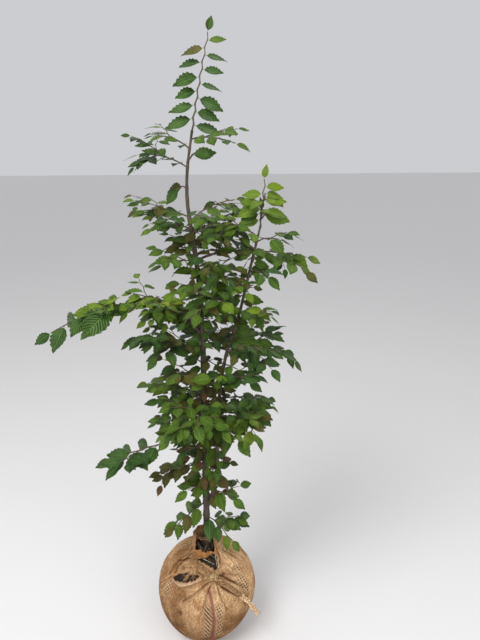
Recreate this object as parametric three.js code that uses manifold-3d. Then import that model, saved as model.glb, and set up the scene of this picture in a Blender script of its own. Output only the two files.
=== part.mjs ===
// A young hornbeam, ready for planting: a leading stem, a second stem nearly as strong,
// three boughs, its leafy shoots, and the root ball in a tied hessian wrap that it stands on.
// Millimetres, +Z up. The origin is the centre of the ball's flat underside, and -Y is the front.
// A compass direction is in degrees, 0 along +X and 90 along +Y.
import * as THREE from "three";
import { mergeVertices } from "three/addons/utils/BufferGeometryUtils.js";
import Module from "manifold-3d";

const wasm = await Module();
wasm.setup();

const FIT = 0.3; // clearance between neighbours

// Root ball
const SOIL_TOP = 286; // the level ground in the ball, where the trunk's flat cut stands
const CLOTH = 2.4; // thickness of the hessian with its folds
const BALL_SIDES = 32;
// Half-width of the wrapped ball at each height, from the flat foot to the collar round the trunk.
const BALL_PROFILE = [
  [0, 84],
  [14, 104],
  [45, 129],
  [90, 151],
  [135, 160],
  [185, 156],
  [225, 140],
  [255, 114],
  [274, 84],
  [286, 60],
  [300, 46],
  [322, 40],
  [348, 37],
  [370, 34],
];
const BALL_LOBES = 0.012; // how far the packed soil bulges out of round, as a share of the half-width
const SLIM_SIDE = { heading: 335, share: 0.06, below: 160 }; // the ball is slimmer low down on one side
const COLLAR = { pleats: 8, depth: 0.1, from: 280, full: 315 };
// Holes in the cloth: the collar's open front, the gap below the fold that crosses it, and a tear
// on the left shoulder.
const HOLES = {
  front: { at: [4, -38, 372], half: [23, 26, 40] },
  gap: { at: [12, -60, 286], half: [27, 26, 20] },
  tear: { at: [-58, -90, 265], half: [40, 17, 16] },
};
// The cloth's corners: twisted, crossed in a knot, and one of them ending in a loose tail.
const KNOT = { at: [28, -92, 272], half: [18, 14, 13] };
const TWIST_LEFT = [
  [22, -90, 276],
  [4, -78, 286],
  [-20, -62, 293],
  [-44, -42, 297],
];
const TWIST_RIGHT = [
  [36, -94, 270],
  [66, -103, 252],
  [92, -106, 232],
  [114, -101, 206],
  [142, -98, 172],
  [168, -104, 134],
];
const TWIST_RADII = { left: 8, right: 9.5 };

// Stems: the sideways place of each at a few heights, as [height, x, y], and its radii.
const TRUNK = {
  line: [
    [SOIL_TOP + FIT, 4, 0],
    [480, 7, 0],
    [740, 9, 2],
    [990, 13, 0],
    [1210, 7, -2],
    [1400, -14, 0],
    [1475, -12, 2],
    [1572, 4, 0],
  ],
  foot: 11.5,
  tip: 2.6,
  flare: 6,
  flareHeight: 26,
};
const SECOND_STEM = {
  line: [
    [452, 7, 0],
    [520, 29, -8],
    [610, 44, -16],
    [815, 53, -24],
    [975, 75, -30],
    [1115, 117, -32],
    [1250, 149, -32],
    [1345, 172, -32],
  ],
  foot: 6.5,
  tip: 2.6,
};

// Boughs: the height on the trunk where each starts, its direction, how far out and up its end
// lies, how much it arches above a straight line, and its radii.
const BOUGHS = {
  left_arch_bough: { at: 1035, heading: 195, reach: 200, rise: 95, arch: 92, foot: 4.4, tip: 2.6 },
  right_long_bough: { at: 1250, heading: 5, reach: 150, rise: 22, arch: 22, foot: 3.6, tip: 2.3 },
  low_left_bough: { at: 690, heading: 195, reach: 125, rise: 22, arch: 60, foot: 4.2, tip: 2.6 },
};

// Shoots that carry on from the end of a stem or bough: direction, reach to the tip of the last
// leaf, rise of that tip, arch above a straight line, length of a full leaf, distance between
// leaves and how readily the shoot bears side twigs.
const END_SHOOTS = {
  leader: { on: "trunk", heading: 0, reach: 46, rise: 248, arch: 0, leaf: 72, internode: 15, twiggy: 0 },
  second_top: { on: "second_stem", heading: 0, reach: 10, rise: 148, arch: 0, leaf: 70, internode: 16, twiggy: 0 },
  arch_outer: { on: "left_arch_bough", heading: 195, reach: 256, rise: -52, arch: 40, leaf: 80, internode: 29, twiggy: 0 },
  right_outer: { on: "right_long_bough", heading: 3, reach: 194, rise: -24, arch: 10, leaf: 62, internode: 19, twiggy: 0.4 },
  low_left_outer: { on: "low_left_bough", heading: 195, reach: 208, rise: -36, arch: 8, leaf: 76, internode: 25, twiggy: 0.3 },
};
const END_LEAF = 0.7; // size of the leaf that ends an upright shoot, as a share of a full one

// Shoots on a stem at a height, or on a bough at a share of its length.
const SHOOTS = {
  top_left: { on: "trunk", at: 1530, heading: 172, reach: 128, rise: 26, leaf: 58, twiggy: 0.5 },
  top_right: { on: "trunk", at: 1552, heading: 345, reach: 156, rise: -16, leaf: 54, twiggy: 0.3 },
  upper_left: { on: "trunk", at: 1486, heading: 190, reach: 162, rise: 26, leaf: 58, twiggy: 0.6 },
  upper_right: { on: "trunk", at: 1500, heading: 316, reach: 96, rise: 14, leaf: 78, twiggy: 0 },
  neck_left: { on: "trunk", at: 1436, heading: 200, reach: 88, rise: -8, leaf: 66, twiggy: 0 },
  left_high: { on: "trunk", at: 1364, heading: 166, reach: 188, rise: 6, leaf: 56, twiggy: 0.7 },
  left_high_front: { on: "trunk", at: 1334, heading: 208, reach: 148, rise: 2, leaf: 56, twiggy: 0.7 },
  left_middle_back: { on: "trunk", at: 1274, heading: 152, reach: 132, rise: -2, leaf: 56, twiggy: 0.7 },
  left_middle: { on: "trunk", at: 1246, heading: 204, reach: 138, rise: -4, leaf: 58, twiggy: 0.8 },
  left_slight: { on: "trunk", at: 1186, heading: 192, reach: 100, rise: -14, leaf: 54, twiggy: 0.6 },
  right_high: { on: "trunk", at: 1354, heading: 20, reach: 172, rise: 44, leaf: 60, twiggy: 0.7 },
  right_high_front: { on: "trunk", at: 1320, heading: 338, reach: 168, rise: 20, leaf: 60, twiggy: 0.8 },
  right_high_back: { on: "trunk", at: 1292, heading: 46, reach: 180, rise: 8, leaf: 60, twiggy: 0.7 },
  right_middle: { on: "trunk", at: 1206, heading: 340, reach: 150, rise: 20, leaf: 64, twiggy: 0.9 },
  left_above_arch: { on: "trunk", at: 1078, heading: 168, reach: 200, rise: 34, leaf: 64, twiggy: 0.9 },
  arch_inner: { on: "left_arch_bough", at: 0.36, heading: 218, reach: 132, rise: 16, leaf: 60, twiggy: 0.6 },
  arch_upper: { on: "left_arch_bough", at: 0.6, heading: 168, reach: 124, rise: 22, leaf: 60, twiggy: 0.6 },
  arch_front: { on: "left_arch_bough", at: 0.82, heading: 222, reach: 92, rise: -14, leaf: 62, twiggy: 0.3 },
  left_below_arch: { on: "trunk", at: 985, heading: 190, reach: 222, rise: 44, leaf: 70, twiggy: 1 },
  left_middle_low: { on: "trunk", at: 912, heading: 214, reach: 150, rise: 14, leaf: 68, twiggy: 0.8 },
  left_low: { on: "trunk", at: 846, heading: 180, reach: 200, rise: 34, leaf: 72, twiggy: 0.9 },
  left_low_back: { on: "trunk", at: 796, heading: 148, reach: 178, rise: -2, leaf: 72, twiggy: 0.9 },
  left_low_front: { on: "trunk", at: 738, heading: 216, reach: 174, rise: 4, leaf: 74, twiggy: 0.9 },
  left_drooping: { on: "trunk", at: 606, heading: 160, reach: 186, rise: -42, leaf: 74, twiggy: 0.6 },
  left_short: { on: "trunk", at: 536, heading: 218, reach: 124, rise: 12, leaf: 74, twiggy: 0.2 },
  foot_left: { on: "trunk", at: 478, heading: 200, reach: 168, rise: -74, leaf: 76, twiggy: 0.3 },
  foot_right: { on: "trunk", at: 432, heading: 335, reach: 150, rise: -78, leaf: 76, twiggy: 0.3 },
  right_short: { on: "second_stem", at: 530, heading: 340, reach: 122, rise: -20, leaf: 74, twiggy: 0.6 },
  second_low_front: { on: "second_stem", at: 766, heading: 318, reach: 140, rise: -24, leaf: 80, twiggy: 0.6 },
  second_low: { on: "second_stem", at: 806, heading: 350, reach: 176, rise: -14, leaf: 74, twiggy: 0.9 },
  second_low_back: { on: "second_stem", at: 850, heading: 18, reach: 164, rise: -20, leaf: 74, twiggy: 0.9 },
  second_inner_front: { on: "second_stem", at: 896, heading: 226, reach: 118, rise: 26, leaf: 70, twiggy: 0.9 },
  second_middle: { on: "second_stem", at: 930, heading: 330, reach: 146, rise: -6, leaf: 74, twiggy: 0.8 },
  second_long: { on: "second_stem", at: 1000, heading: 346, reach: 210, rise: 6, leaf: 72, twiggy: 1 },
  second_back: { on: "second_stem", at: 1030, heading: 36, reach: 146, rise: -20, leaf: 72, twiggy: 0.8 },
  second_high: { on: "second_stem", at: 1112, heading: 352, reach: 136, rise: -10, leaf: 68, twiggy: 0.9 },
  second_inner_low: { on: "second_stem", at: 1170, heading: 196, reach: 100, rise: 10, leaf: 64, twiggy: 0.9 },
  second_high_front: { on: "second_stem", at: 1226, heading: 330, reach: 104, rise: -12, leaf: 66, twiggy: 0.8 },
  second_high_back: { on: "second_stem", at: 1304, heading: 8, reach: 112, rise: -2, leaf: 66, twiggy: 0.8 },
  second_inner: { on: "second_stem", at: 1316, heading: 205, reach: 112, rise: 16, leaf: 66, twiggy: 0.9 },
};
const SHOOT_TAPER = 0.3; // share of its length that a leaf loses towards a shoot's end
const SHOOT_ARCH = 0.12; // how far a shoot arches up, as a share of its reach
const SHOOT_FOOT = 2.1; // radii of a shoot
const SHOOT_TIP = 1.2;

// The back and the front of the crown: shoots at even heights, in turn behind and before the
// trunk, each turned aside by up to `turn` degrees, with their reach at a few heights.
const FILL = { count: 5, lowest: 650, highest: 1310, turn: 30, phase: 0.9, leaf: 72, twiggy: 1, rise: 16 };
const FILL_REACH = [
  [500, 150],
  [750, 205],
  [1000, 215],
  [1250, 170],
  [1500, 110],
];

const INTERNODE = 19; // distance between leaves along a shoot
const ZIGZAG = 2; // sideways step of a shoot at each leaf
const TWIG_SIDES = 3;
// A side twig turns aside from the shoot, and the pairs of them rise and droop by turns.
const SIDE_TWIG = { turn: 46, most: 95, spare: 25, lift: 6, rise: 20, droop: 30, foot: 1.4, tip: 1.1 };
const LEAF_THICKNESS = 2; // near the stalk end, tapering to the rim
const LEAF_WIDTH = 0.62; // as a share of its length
const LEAF_ARCH = { rim: 0.03, end: 0.05 }; // how far it droops there, as a share of its length
const LEAF_ROOT = 0.3; // how far the stalk end runs past the twig's axis
const LEAF_SHARE = 0.85; // place of a leaf along its stretch of twig
const LEAF_GAP = 1; // least distance between a leaf and whatever it doesn't grow on
const LEAF_TURNS = [0, 0.5, -0.5, 0.9]; // ways a leaf may turn to keep that distance, in radians

const UP = new THREE.Vector3(0, 0, 1);
const FRONT = new THREE.Vector3(0, -1, 0);

function radians(degrees) {
  return (degrees * Math.PI) / 180;
}

function towards(heading) {
  return new THREE.Vector3(Math.cos(radians(heading)), Math.sin(radians(heading)), 0);
}

// Even random numbers from 0 to 1, the same for the same seed.
function randomFrom(seed) {
  let state = seed;
  return () => {
    state = (state + 0x6d2b79f5) | 0;
    let mixed = Math.imul(state ^ (state >>> 15), 1 | state);
    mixed = (mixed + Math.imul(mixed ^ (mixed >>> 7), 61 | mixed)) ^ mixed;
    return ((mixed ^ (mixed >>> 14)) >>> 0) / 4294967296;
  };
}

// Straight-line lookup in rows of [height, value].
function lookUp(rows, height) {
  const next = rows.findIndex(([level]) => level >= height);
  if (next < 1) return next === 0 ? rows[0][1] : rows[rows.length - 1][1];
  const [low, high] = [rows[next - 1], rows[next]];
  return THREE.MathUtils.mapLinear(height, low[0], high[0], low[1], high[1]);
}

function solidOf(geometry) {
  const bare = geometry.clone();
  bare.deleteAttribute("normal");
  bare.deleteAttribute("uv");
  const merged = mergeVertices(bare, 1e-4);
  return new wasm.Manifold(
    new wasm.Mesh({
      numProp: 3,
      vertProperties: merged.attributes.position.array,
      triVerts: new Uint32Array(merged.index.array),
    }),
  );
}

// Closed skin over a row of rings with equal counts. Each end is a flat fan, about its first
// corner or, on an end that isn't convex, about its middle.
function skinOver(rings, aboutMiddle = false) {
  const count = rings[0].length;
  const points = rings.flat();
  const faces = [];
  for (let ring = 0; ring + 1 < rings.length; ring++) {
    for (let i = 0; i < count; i++) {
      const a = ring * count + i;
      const b = ring * count + ((i + 1) % count);
      faces.push(a, b, b + count, a, b + count, a + count);
    }
  }
  for (const end of [0, rings.length - 1]) {
    let hub = end * count;
    if (aboutMiddle) {
      hub = points.length;
      const middle = new THREE.Vector3();
      rings[end].forEach((p) => middle.addScaledVector(p, 1 / count));
      points.push(middle);
    }
    for (let i = 0; i < count; i++) {
      const a = end * count + i;
      const b = end * count + ((i + 1) % count);
      if (a === hub || b === hub) continue;
      faces.push(...(end === 0 ? [hub, b, a] : [hub, a, b]));
    }
  }
  const geometry = new THREE.BufferGeometry().setFromPoints(points);
  geometry.setIndex(faces);
  return geometry;
}

// Tapering limb through points: a ring of `sides` corners square to the line at each point.
function limbThrough(points, radiusAt, sides, levelFoot = false) {
  const rings = points.map((p, i) => {
    const ahead = points[Math.min(i + 1, points.length - 1)];
    const behind = points[Math.max(i - 1, 0)];
    const along = levelFoot && i === 0 ? UP.clone() : ahead.clone().sub(behind).normalize();
    const reference = Math.abs(along.z) > 0.9 ? new THREE.Vector3(1, 0, 0) : UP;
    const across = reference.clone().cross(along).normalize();
    const other = along.clone().cross(across);
    const radius = radiusAt(i / (points.length - 1), p);
    return Array.from({ length: sides }, (_, k) => {
      const turn = (2 * Math.PI * k) / sides - Math.PI / 2;
      return p
        .clone()
        .addScaledVector(across, radius * Math.cos(turn))
        .addScaledVector(other, radius * Math.sin(turn));
    });
  });
  return solidOf(skinOver(rings));
}

// What stands already, so that a leaf or twig can be kept clear of it.
const standing = [];

function boxesNear(a, b, gap) {
  return [0, 1, 2].every((k) => a.min[k] - gap < b.max[k] && b.min[k] - gap < a.max[k]);
}

function isClear(solid, own) {
  const box = solid.boundingBox();
  return standing.every(
    (other) =>
      own.includes(other) ||
      !boxesNear(box, other.box, LEAF_GAP) ||
      solid.minGap(other.solid, LEAF_GAP * 1.5) >= LEAF_GAP,
  );
}

function stand(solid) {
  const entry = { solid, box: solid.boundingBox() };
  standing.push(entry);
  return entry;
}

// Stems and boughs, each with its axis, its radius along it and the room that others leave it.
const limbs = {};

function addLimb(name, curve, steps, sides, radiusAt, options = {}) {
  const points = curve.getPoints(steps);
  const past = curve.getPoint(1).addScaledVector(curve.getTangent(1), FIT);
  const grown = (line, extra) =>
    limbThrough(line, (t, p) => radiusAt(t, p) + extra, sides, options.levelFoot);
  const whole = grown(points, 0);
  const solid = options.cutBy ? whole.subtract(options.cutBy) : whole;
  limbs[name] = { curve, radiusAt, solid, room: grown([...points, past], FIT), standing: stand(solid) };
}

// Point of a limb's axis at a height or, where `place` is 1 or less, at a share of its length.
function placeOn(limb, place) {
  if (place <= 1) return limb.curve.getPoint(place);
  let [low, high] = [0, 1];
  for (let i = 0; i < 30; i++) {
    const middle = (low + high) / 2;
    if (limb.curve.getPoint(middle).z < place) low = middle;
    else high = middle;
  }
  return limb.curve.getPoint(low);
}

// Line that leaves `from` and arches over to its end, in the upright plane of a direction.
function archedLine(from, heading, reach, rise, arch) {
  const out = towards(heading);
  const end = from.clone().addScaledVector(out, reach).addScaledVector(UP, rise);
  const bend = from
    .clone()
    .addScaledVector(out, 0.42 * reach)
    .addScaledVector(UP, 0.5 * rise + arch);
  return new THREE.QuadraticBezierCurve3(from, bend, end);
}

// Sideways direction of a twig: level, and to the left and right of the tree on an upright one.
function sidewaysOf(along) {
  if (along.z > 0.8) return new THREE.Vector3(-1, 0, 0);
  return UP.clone().cross(along).normalize();
}

// Leaf of six faces: a drooping kite, thickest just past its stalk end, which is sunk in the
// twig. Without its root it is the blade that is kept clear of its neighbours.
function leafSolid(foot, along, face, length, rooted) {
  const across = face.clone().cross(along).normalize();
  const normal = along.clone().cross(across).normalize();
  const place = (out, side, lift) =>
    foot
      .clone()
      .addScaledVector(along, out * length)
      .addScaledVector(across, side * LEAF_WIDTH * length)
      .addScaledVector(normal, lift);
  const points = [
    place(rooted ? -LEAF_ROOT / length : 0.05, 0, 0),
    place(0.45, 0.5, -LEAF_ARCH.rim * length),
    place(0.45, -0.5, -LEAF_ARCH.rim * length),
    place(1, 0, -LEAF_ARCH.end * length),
    place(0.08, 0, LEAF_THICKNESS),
  ];
  const geometry = new THREE.BufferGeometry().setFromPoints(points);
  const [root, left, right, end, upper] = [0, 1, 2, 3, 4];
  const faces = [
    [root, upper, left],
    [root, right, upper],
    [upper, end, left],
    [upper, right, end],
    [root, left, right],
    [left, end, right],
  ];
  geometry.setIndex(faces.flat());
  return solidOf(geometry);
}

// Twig along a line: its joints, stepping from side to side, and its three-sided solid.
function layTwig(curve, foot, tip, random, internode = INTERNODE) {
  const length = curve.getLength();
  const joints = Math.max(2, Math.round(length / internode));
  const firstSide = random() < 0.5 ? 1 : -1;
  const sides = [0];
  const points = [curve.getPoint(0)];
  const tangents = [curve.getTangent(0)];
  for (let i = 1; i <= joints; i++) {
    const tangent = curve.getTangent(i / joints);
    sides.push(i % 2 ? firstSide : -firstSide);
    points.push(curve.getPoint(i / joints).addScaledVector(sidewaysOf(tangent), sides[i] * ZIGZAG));
    tangents.push(tangent);
  }
  const solid = limbThrough(points, (t) => foot + (tip - foot) * t, TWIG_SIDES);
  return { length, joints, sides, points, tangents, solid };
}

// Stem of a mass, laid before any leaf so that all the stems have their room.
function layStem(name, line, limb, foot, seed, { leaf, twiggy, internode }) {
  const random = randomFrom(seed);
  const twig = layTwig(line, foot, SHOOT_TIP, random, internode);
  if (!isClear(twig.solid, [limb.standing])) throw new Error("no room for the stem of " + name);
  const own = [limb.standing, stand(twig.solid)];
  return { name, limb, twig, random, leaf, twiggy, own, pieces: [twig.solid] };
}

// Leaf at a joint: it turns a little, or is left out, where it would touch what stands already.
function addLeaf(mass, random, at, along, side, share) {
  const { leaf, own, pieces } = mass;
  const upright = along.z > 0.8;
  const spread = radians((upright ? 70 : 50) + 16 * random());
  const droop = upright ? 0.15 + 0.5 * random() : 0.1 + 0.8 * random() ** 2;
  const sway = new THREE.Vector3(random() - 0.5, random() - 0.5, 0);
  const ends = upright && !side ? END_LEAF : 1;
  const size = leaf * (0.8 + 0.32 * random()) * (1 - SHOOT_TAPER * share ** 2) * ends;
  const point = along
    .clone()
    .multiplyScalar(side ? Math.cos(spread) : 1)
    .addScaledVector(sidewaysOf(along), side * Math.sin(spread))
    .addScaledVector(UP, side ? -droop : -droop / 2)
    .normalize();
  const face = UP.clone().addScaledVector(FRONT, upright ? 1.2 : 0.5).add(sway);
  for (const turn of LEAF_TURNS) {
    const turned = point.clone().applyAxisAngle(UP, turn);
    const blade = leafSolid(at, turned, face, size, false);
    if (!isClear(blade, own)) continue;
    pieces.push(leafSolid(at, turned, face, size, true));
    stand(blade);
    return;
  }
}

// Leaves at the joints of a twig and, where it is a mass's stem, side twigs with leaves of their
// own, each from a seed of its own.
function dressTwig(mass, twig, random, isStem) {
  const { joints, sides, points, tangents, length } = twig;
  for (let i = 1; i <= joints; i++) {
    const share = i / joints;
    const last = i === joints;
    const bears = isStem && i >= 2 && share < 0.75 && random() < mass.twiggy;
    const place = points[i - 1].clone().lerp(points[i], last ? 1 : LEAF_SHARE);
    addLeaf(mass, random, place, tangents[i], last ? 0 : sides[i], share);
    if (!bears) continue;
    const ownRandom = randomFrom(Math.floor(random() * 1e6));
    const out = tangents[i]
      .clone()
      .multiplyScalar(Math.cos(radians(SIDE_TWIG.turn)))
      .addScaledVector(sidewaysOf(tangents[i]), sides[i] * Math.sin(radians(SIDE_TWIG.turn)));
    const reach = Math.min(SIDE_TWIG.most, (1 - share) * length + SIDE_TWIG.spare);
    const climb = Math.floor(i / 2) % 2 ? SIDE_TWIG.rise : -SIDE_TWIG.droop;
    const bend = points[i]
      .clone()
      .addScaledVector(out, reach / 2)
      .addScaledVector(UP, climb / 2 + SIDE_TWIG.lift);
    const end = points[i].clone().addScaledVector(out, reach).addScaledVector(UP, climb);
    const line = new THREE.QuadraticBezierCurve3(points[i], bend, end);
    const side = layTwig(line, SIDE_TWIG.foot, SIDE_TWIG.tip, ownRandom);
    if (!isClear(side.solid, mass.own)) continue;
    mass.pieces.push(side.solid);
    mass.own.push(stand(side.solid));
    dressTwig(mass, side, ownRandom, false);
  }
}

// One solid of all that a mass has grown, cut clear of the limb that it grows on.
function fuse(mass) {
  const solid = wasm.Manifold.union(mass.pieces).subtract(mass.limb.room);
  const bodies = solid.asOriginal().simplify(0.05).decompose();
  bodies.sort((a, b) => b.volume() - a.volume());
  return bodies[0];
}

function shootOn(name, row, seed) {
  const limb = limbs[row.on];
  const reach = row.reach - 0.8 * row.leaf;
  const rise = row.rise + 0.1 * row.leaf;
  const line = archedLine(placeOn(limb, row.at), row.heading, reach, rise, SHOOT_ARCH * row.reach);
  return layStem(name, line, limb, SHOOT_FOOT, seed, row);
}

function shootBeyond(name, row, seed) {
  const limb = limbs[row.on];
  const end = limb.curve.getPoint(1);
  const from = end.clone().addScaledVector(limb.curve.getTangent(1), FIT);
  const upright = row.rise > row.reach;
  const reach = upright ? row.reach : row.reach - 0.8 * row.leaf;
  const rise = upright ? row.rise - 0.5 * row.leaf : row.rise + 0.1 * row.leaf;
  const line = archedLine(from, row.heading, reach, rise, row.arch);
  return layStem(name, line, limb, 0.95 * limb.radiusAt(1, end), seed, row);
}

function fillRow(i) {
  const at = FILL.lowest + ((FILL.highest - FILL.lowest) * i) / (FILL.count - 1);
  const heading = (i % 2 ? 270 : 90) + FILL.turn * Math.sin(2.4 * i + FILL.phase);
  return { ...FILL, on: "trunk", at, heading, reach: lookUp(FILL_REACH, at) };
}

function stemCurve({ line }) {
  return new THREE.CatmullRomCurve3(line.map(([z, x, y]) => new THREE.Vector3(x, y, z)));
}

function taperOf({ foot, tip }) {
  return (t) => foot + (tip - foot) * t;
}

function buildLimbs() {
  const trunkRadius = (t, p) => {
    const flare = TRUNK.flare * Math.exp((SOIL_TOP - p.z) / TRUNK.flareHeight);
    return taperOf(TRUNK)(t ** 0.8) + flare;
  };
  addLimb("trunk", stemCurve(TRUNK), 26, 8, trunkRadius, { levelFoot: true });
  const cutBy = limbs.trunk.room;
  addLimb("second_stem", stemCurve(SECOND_STEM), 16, 6, taperOf(SECOND_STEM), { cutBy });
  for (const [name, bough] of Object.entries(BOUGHS)) {
    const from = placeOn(limbs.trunk, bough.at);
    const line = archedLine(from, bough.heading, bough.reach, bough.rise, bough.arch);
    addLimb(name, line, 8, 6, taperOf(bough), { cutBy });
  }
}

function buildFoliage() {
  const masses = [];
  let seed = 11;
  for (const [name, row] of Object.entries(END_SHOOTS)) {
    masses.push(shootBeyond(name + "_shoot", row, seed++));
  }
  for (const [name, row] of Object.entries(SHOOTS)) {
    masses.push(shootOn(name + "_shoot", row, seed++));
  }
  for (let i = 0; i < FILL.count; i++) {
    masses.push(shootOn((i % 2 ? "front" : "back") + "_shoot_" + (i + 1), fillRow(i), seed++));
  }
  masses.forEach((mass) => dressTwig(mass, mass.twig, mass.random, true));
  return Object.fromEntries(masses.map((mass) => [mass.name, fuse(mass)]));
}

// Half-width of the ball in a direction at a height.
function ballRadius(turn, height) {
  const lobes = Math.cos(2 * turn + 0.6) + 0.6 * Math.cos(3 * turn - 1.2);
  const low = THREE.MathUtils.clamp(1 - height / SLIM_SIDE.below, 0, 1);
  const slim = SLIM_SIDE.share * low * Math.max(0, Math.cos(turn - radians(SLIM_SIDE.heading)));
  const gather = THREE.MathUtils.smoothstep(height, COLLAR.from, COLLAR.full);
  const pleat = COLLAR.depth * gather * Math.cos(COLLAR.pleats * turn);
  return lookUp(BALL_PROFILE, height) * (1 + BALL_LOBES * lobes - slim + pleat);
}

// Body of the ball over a row of levels, set in from the cloth's face.
function ballSolid(levels, inset) {
  const rings = levels.map((height) =>
    Array.from({ length: BALL_SIDES }, (_, k) => {
      const turn = (2 * Math.PI * k) / BALL_SIDES;
      return towards((360 * k) / BALL_SIDES)
        .multiplyScalar(ballRadius(turn, height) - inset)
        .setZ(height);
    }),
  );
  return solidOf(skinOver(rings, true));
}

function ellipsoid({ at, half }, extra = 0) {
  const geometry = new THREE.SphereGeometry(1, 14, 9);
  geometry.scale(half[0] + extra, half[1] + extra, half[2] + extra);
  geometry.translate(...at);
  return solidOf(geometry);
}

// Twisted cloth: it swells and narrows at each half turn, and thins towards its end.
function twist(places, radius, tip) {
  const curve = new THREE.CatmullRomCurve3(places.map((p) => new THREE.Vector3(...p)));
  const steps = 4 * places.length;
  const radiusAt = (t) => radius * (1 + 0.12 * Math.sin(30 * t)) * (1 - (1 - tip) * t ** 1.5);
  return limbThrough(curve.getPoints(steps), radiusAt, 7);
}

function buildRootBall() {
  const levels = BALL_PROFILE.map(([height]) => height);
  const collarTop = levels[levels.length - 1];
  const inside = ballSolid([CLOTH, ...levels.slice(1), collarTop + 5], CLOTH);
  const holes = Object.values(HOLES).map((hole) => ellipsoid(hole));
  const wrap = [inside, ...holes].reduce((solid, hole) => solid.subtract(hole), ballSolid(levels, 0));
  const soilLevels = [CLOTH + FIT, ...levels.slice(1).filter((height) => height <= SOIL_TOP)];
  const clothRoom = ballSolid([-1, ...levels.slice(1), collarTop + 1], -FIT);
  const knotRoom = ellipsoid(KNOT, FIT);
  const corner = (places, radius, tip) => {
    const bodies = twist(places, radius, tip).subtract(clothRoom).subtract(knotRoom).decompose();
    return bodies.sort((a, b) => b.volume() - a.volume())[0];
  };
  return {
    soil_ball: ballSolid(soilLevels, CLOTH + FIT),
    hessian_wrap: wrap,
    corner_knot: ellipsoid(KNOT).subtract(clothRoom),
    corner_twist_left: corner(TWIST_LEFT, TWIST_RADII.left, 0.5),
    corner_twist_right: corner(TWIST_RIGHT, TWIST_RADII.right, 0.45),
  };
}

function meshOf(name, solid, material) {
  const { vertProperties, triVerts } = solid.getMesh();
  const geometry = new THREE.BufferGeometry();
  geometry.setAttribute("position", new THREE.BufferAttribute(vertProperties, 3));
  geometry.setIndex(new THREE.BufferAttribute(triVerts, 1));
  geometry.computeVertexNormals();
  const mesh = new THREE.Mesh(geometry, material);
  mesh.name = name;
  return mesh;
}

const bark = new THREE.MeshStandardMaterial({ color: 0x5d5346, roughness: 0.8, metalness: 0 });
const leafGreen = new THREE.MeshStandardMaterial({ color: 0x3f6f2a, roughness: 0.45, metalness: 0 });
const earth = new THREE.MeshStandardMaterial({ color: 0x2e2119, roughness: 1, metalness: 0 });
const hessian = new THREE.MeshStandardMaterial({ color: 0xb08d5e, roughness: 0.95, metalness: 0 });

buildLimbs();
const rootBall = buildRootBall();
Object.values(rootBall).forEach(stand);
const foliage = buildFoliage();

const sapling = new THREE.Group();
for (const [name, solid] of Object.entries(rootBall)) {
  sapling.add(meshOf(name, solid, name === "soil_ball" ? earth : hessian));
}
for (const [name, limb] of Object.entries(limbs)) sapling.add(meshOf(name, limb.solid, bark));
for (const [name, solid] of Object.entries(foliage)) sapling.add(meshOf(name, solid, leafGreen));

export default sapling;
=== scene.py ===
from math import atan2, cos, degrees, exp, hypot, pi, radians, sin
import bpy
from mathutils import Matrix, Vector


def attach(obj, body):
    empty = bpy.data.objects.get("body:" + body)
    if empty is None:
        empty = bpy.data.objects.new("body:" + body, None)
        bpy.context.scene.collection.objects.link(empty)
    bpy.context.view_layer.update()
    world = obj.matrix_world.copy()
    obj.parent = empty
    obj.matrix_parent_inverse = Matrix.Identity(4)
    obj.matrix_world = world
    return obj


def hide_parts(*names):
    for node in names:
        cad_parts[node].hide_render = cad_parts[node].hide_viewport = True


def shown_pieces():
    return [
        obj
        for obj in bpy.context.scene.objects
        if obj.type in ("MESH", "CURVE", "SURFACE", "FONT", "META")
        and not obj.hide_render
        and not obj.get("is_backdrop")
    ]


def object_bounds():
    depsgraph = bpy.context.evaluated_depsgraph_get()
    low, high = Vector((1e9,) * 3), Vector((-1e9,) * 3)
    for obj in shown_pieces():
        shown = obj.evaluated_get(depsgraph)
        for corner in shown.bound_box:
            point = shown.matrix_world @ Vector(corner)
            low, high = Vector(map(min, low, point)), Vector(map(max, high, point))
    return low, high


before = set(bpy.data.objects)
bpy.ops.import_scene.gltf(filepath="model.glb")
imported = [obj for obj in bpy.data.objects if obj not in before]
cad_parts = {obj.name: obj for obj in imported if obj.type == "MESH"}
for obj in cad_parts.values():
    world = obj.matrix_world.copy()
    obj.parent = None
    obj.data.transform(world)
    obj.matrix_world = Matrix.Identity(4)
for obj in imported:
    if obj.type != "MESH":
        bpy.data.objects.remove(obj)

from types import SimpleNamespace

import bmesh
import bpy
from mathutils import Matrix, Vector, noise

solidsBox = [list(corner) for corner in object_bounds()]

# A young hornbeam with a hessian root ball. Shapes are worked out in millimetres, with +Z up and
# -Y at the front, and are turned to metres where a piece is added.
up = Vector((0, 0, 1))
front = Vector((0, -1, 0))


def towards(heading):
    return Vector((cos(radians(heading)), sin(radians(heading)), 0))


def turned(vector, angle):
    return Matrix.Rotation(angle, 3, "Z") @ vector


def ramp(value, low, high):
    share = min(max((value - low) / (high - low), 0), 1)
    return share * share * (3 - 2 * share)


def lookUp(rows, height):
    if height <= rows[0][0]:
        return rows[0][1]
    for low, high in zip(rows, rows[1:]):
        if height <= high[0]:
            return low[1] + (high[1] - low[1]) * (height - low[0]) / (high[0] - low[0])
    return rows[-1][1]


def randomFrom(seed):
    # even numbers from 0 to 1, the same for the same seed
    state = [seed]

    def draw():
        state[0] = (state[0] + 0x6D2B79F5) & 0xFFFFFFFF
        mixed = ((state[0] ^ (state[0] >> 15)) * (1 | state[0])) & 0xFFFFFFFF
        mixed = (mixed + (((mixed ^ (mixed >> 7)) * (61 | mixed)) & 0xFFFFFFFF)) ^ mixed
        mixed &= 0xFFFFFFFF
        return (mixed ^ (mixed >> 14)) / 4294967296

    return draw


def newObject(name, data):
    thing = bpy.data.objects.new(name, data)
    bpy.context.scene.collection.objects.link(thing)
    return thing


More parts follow.
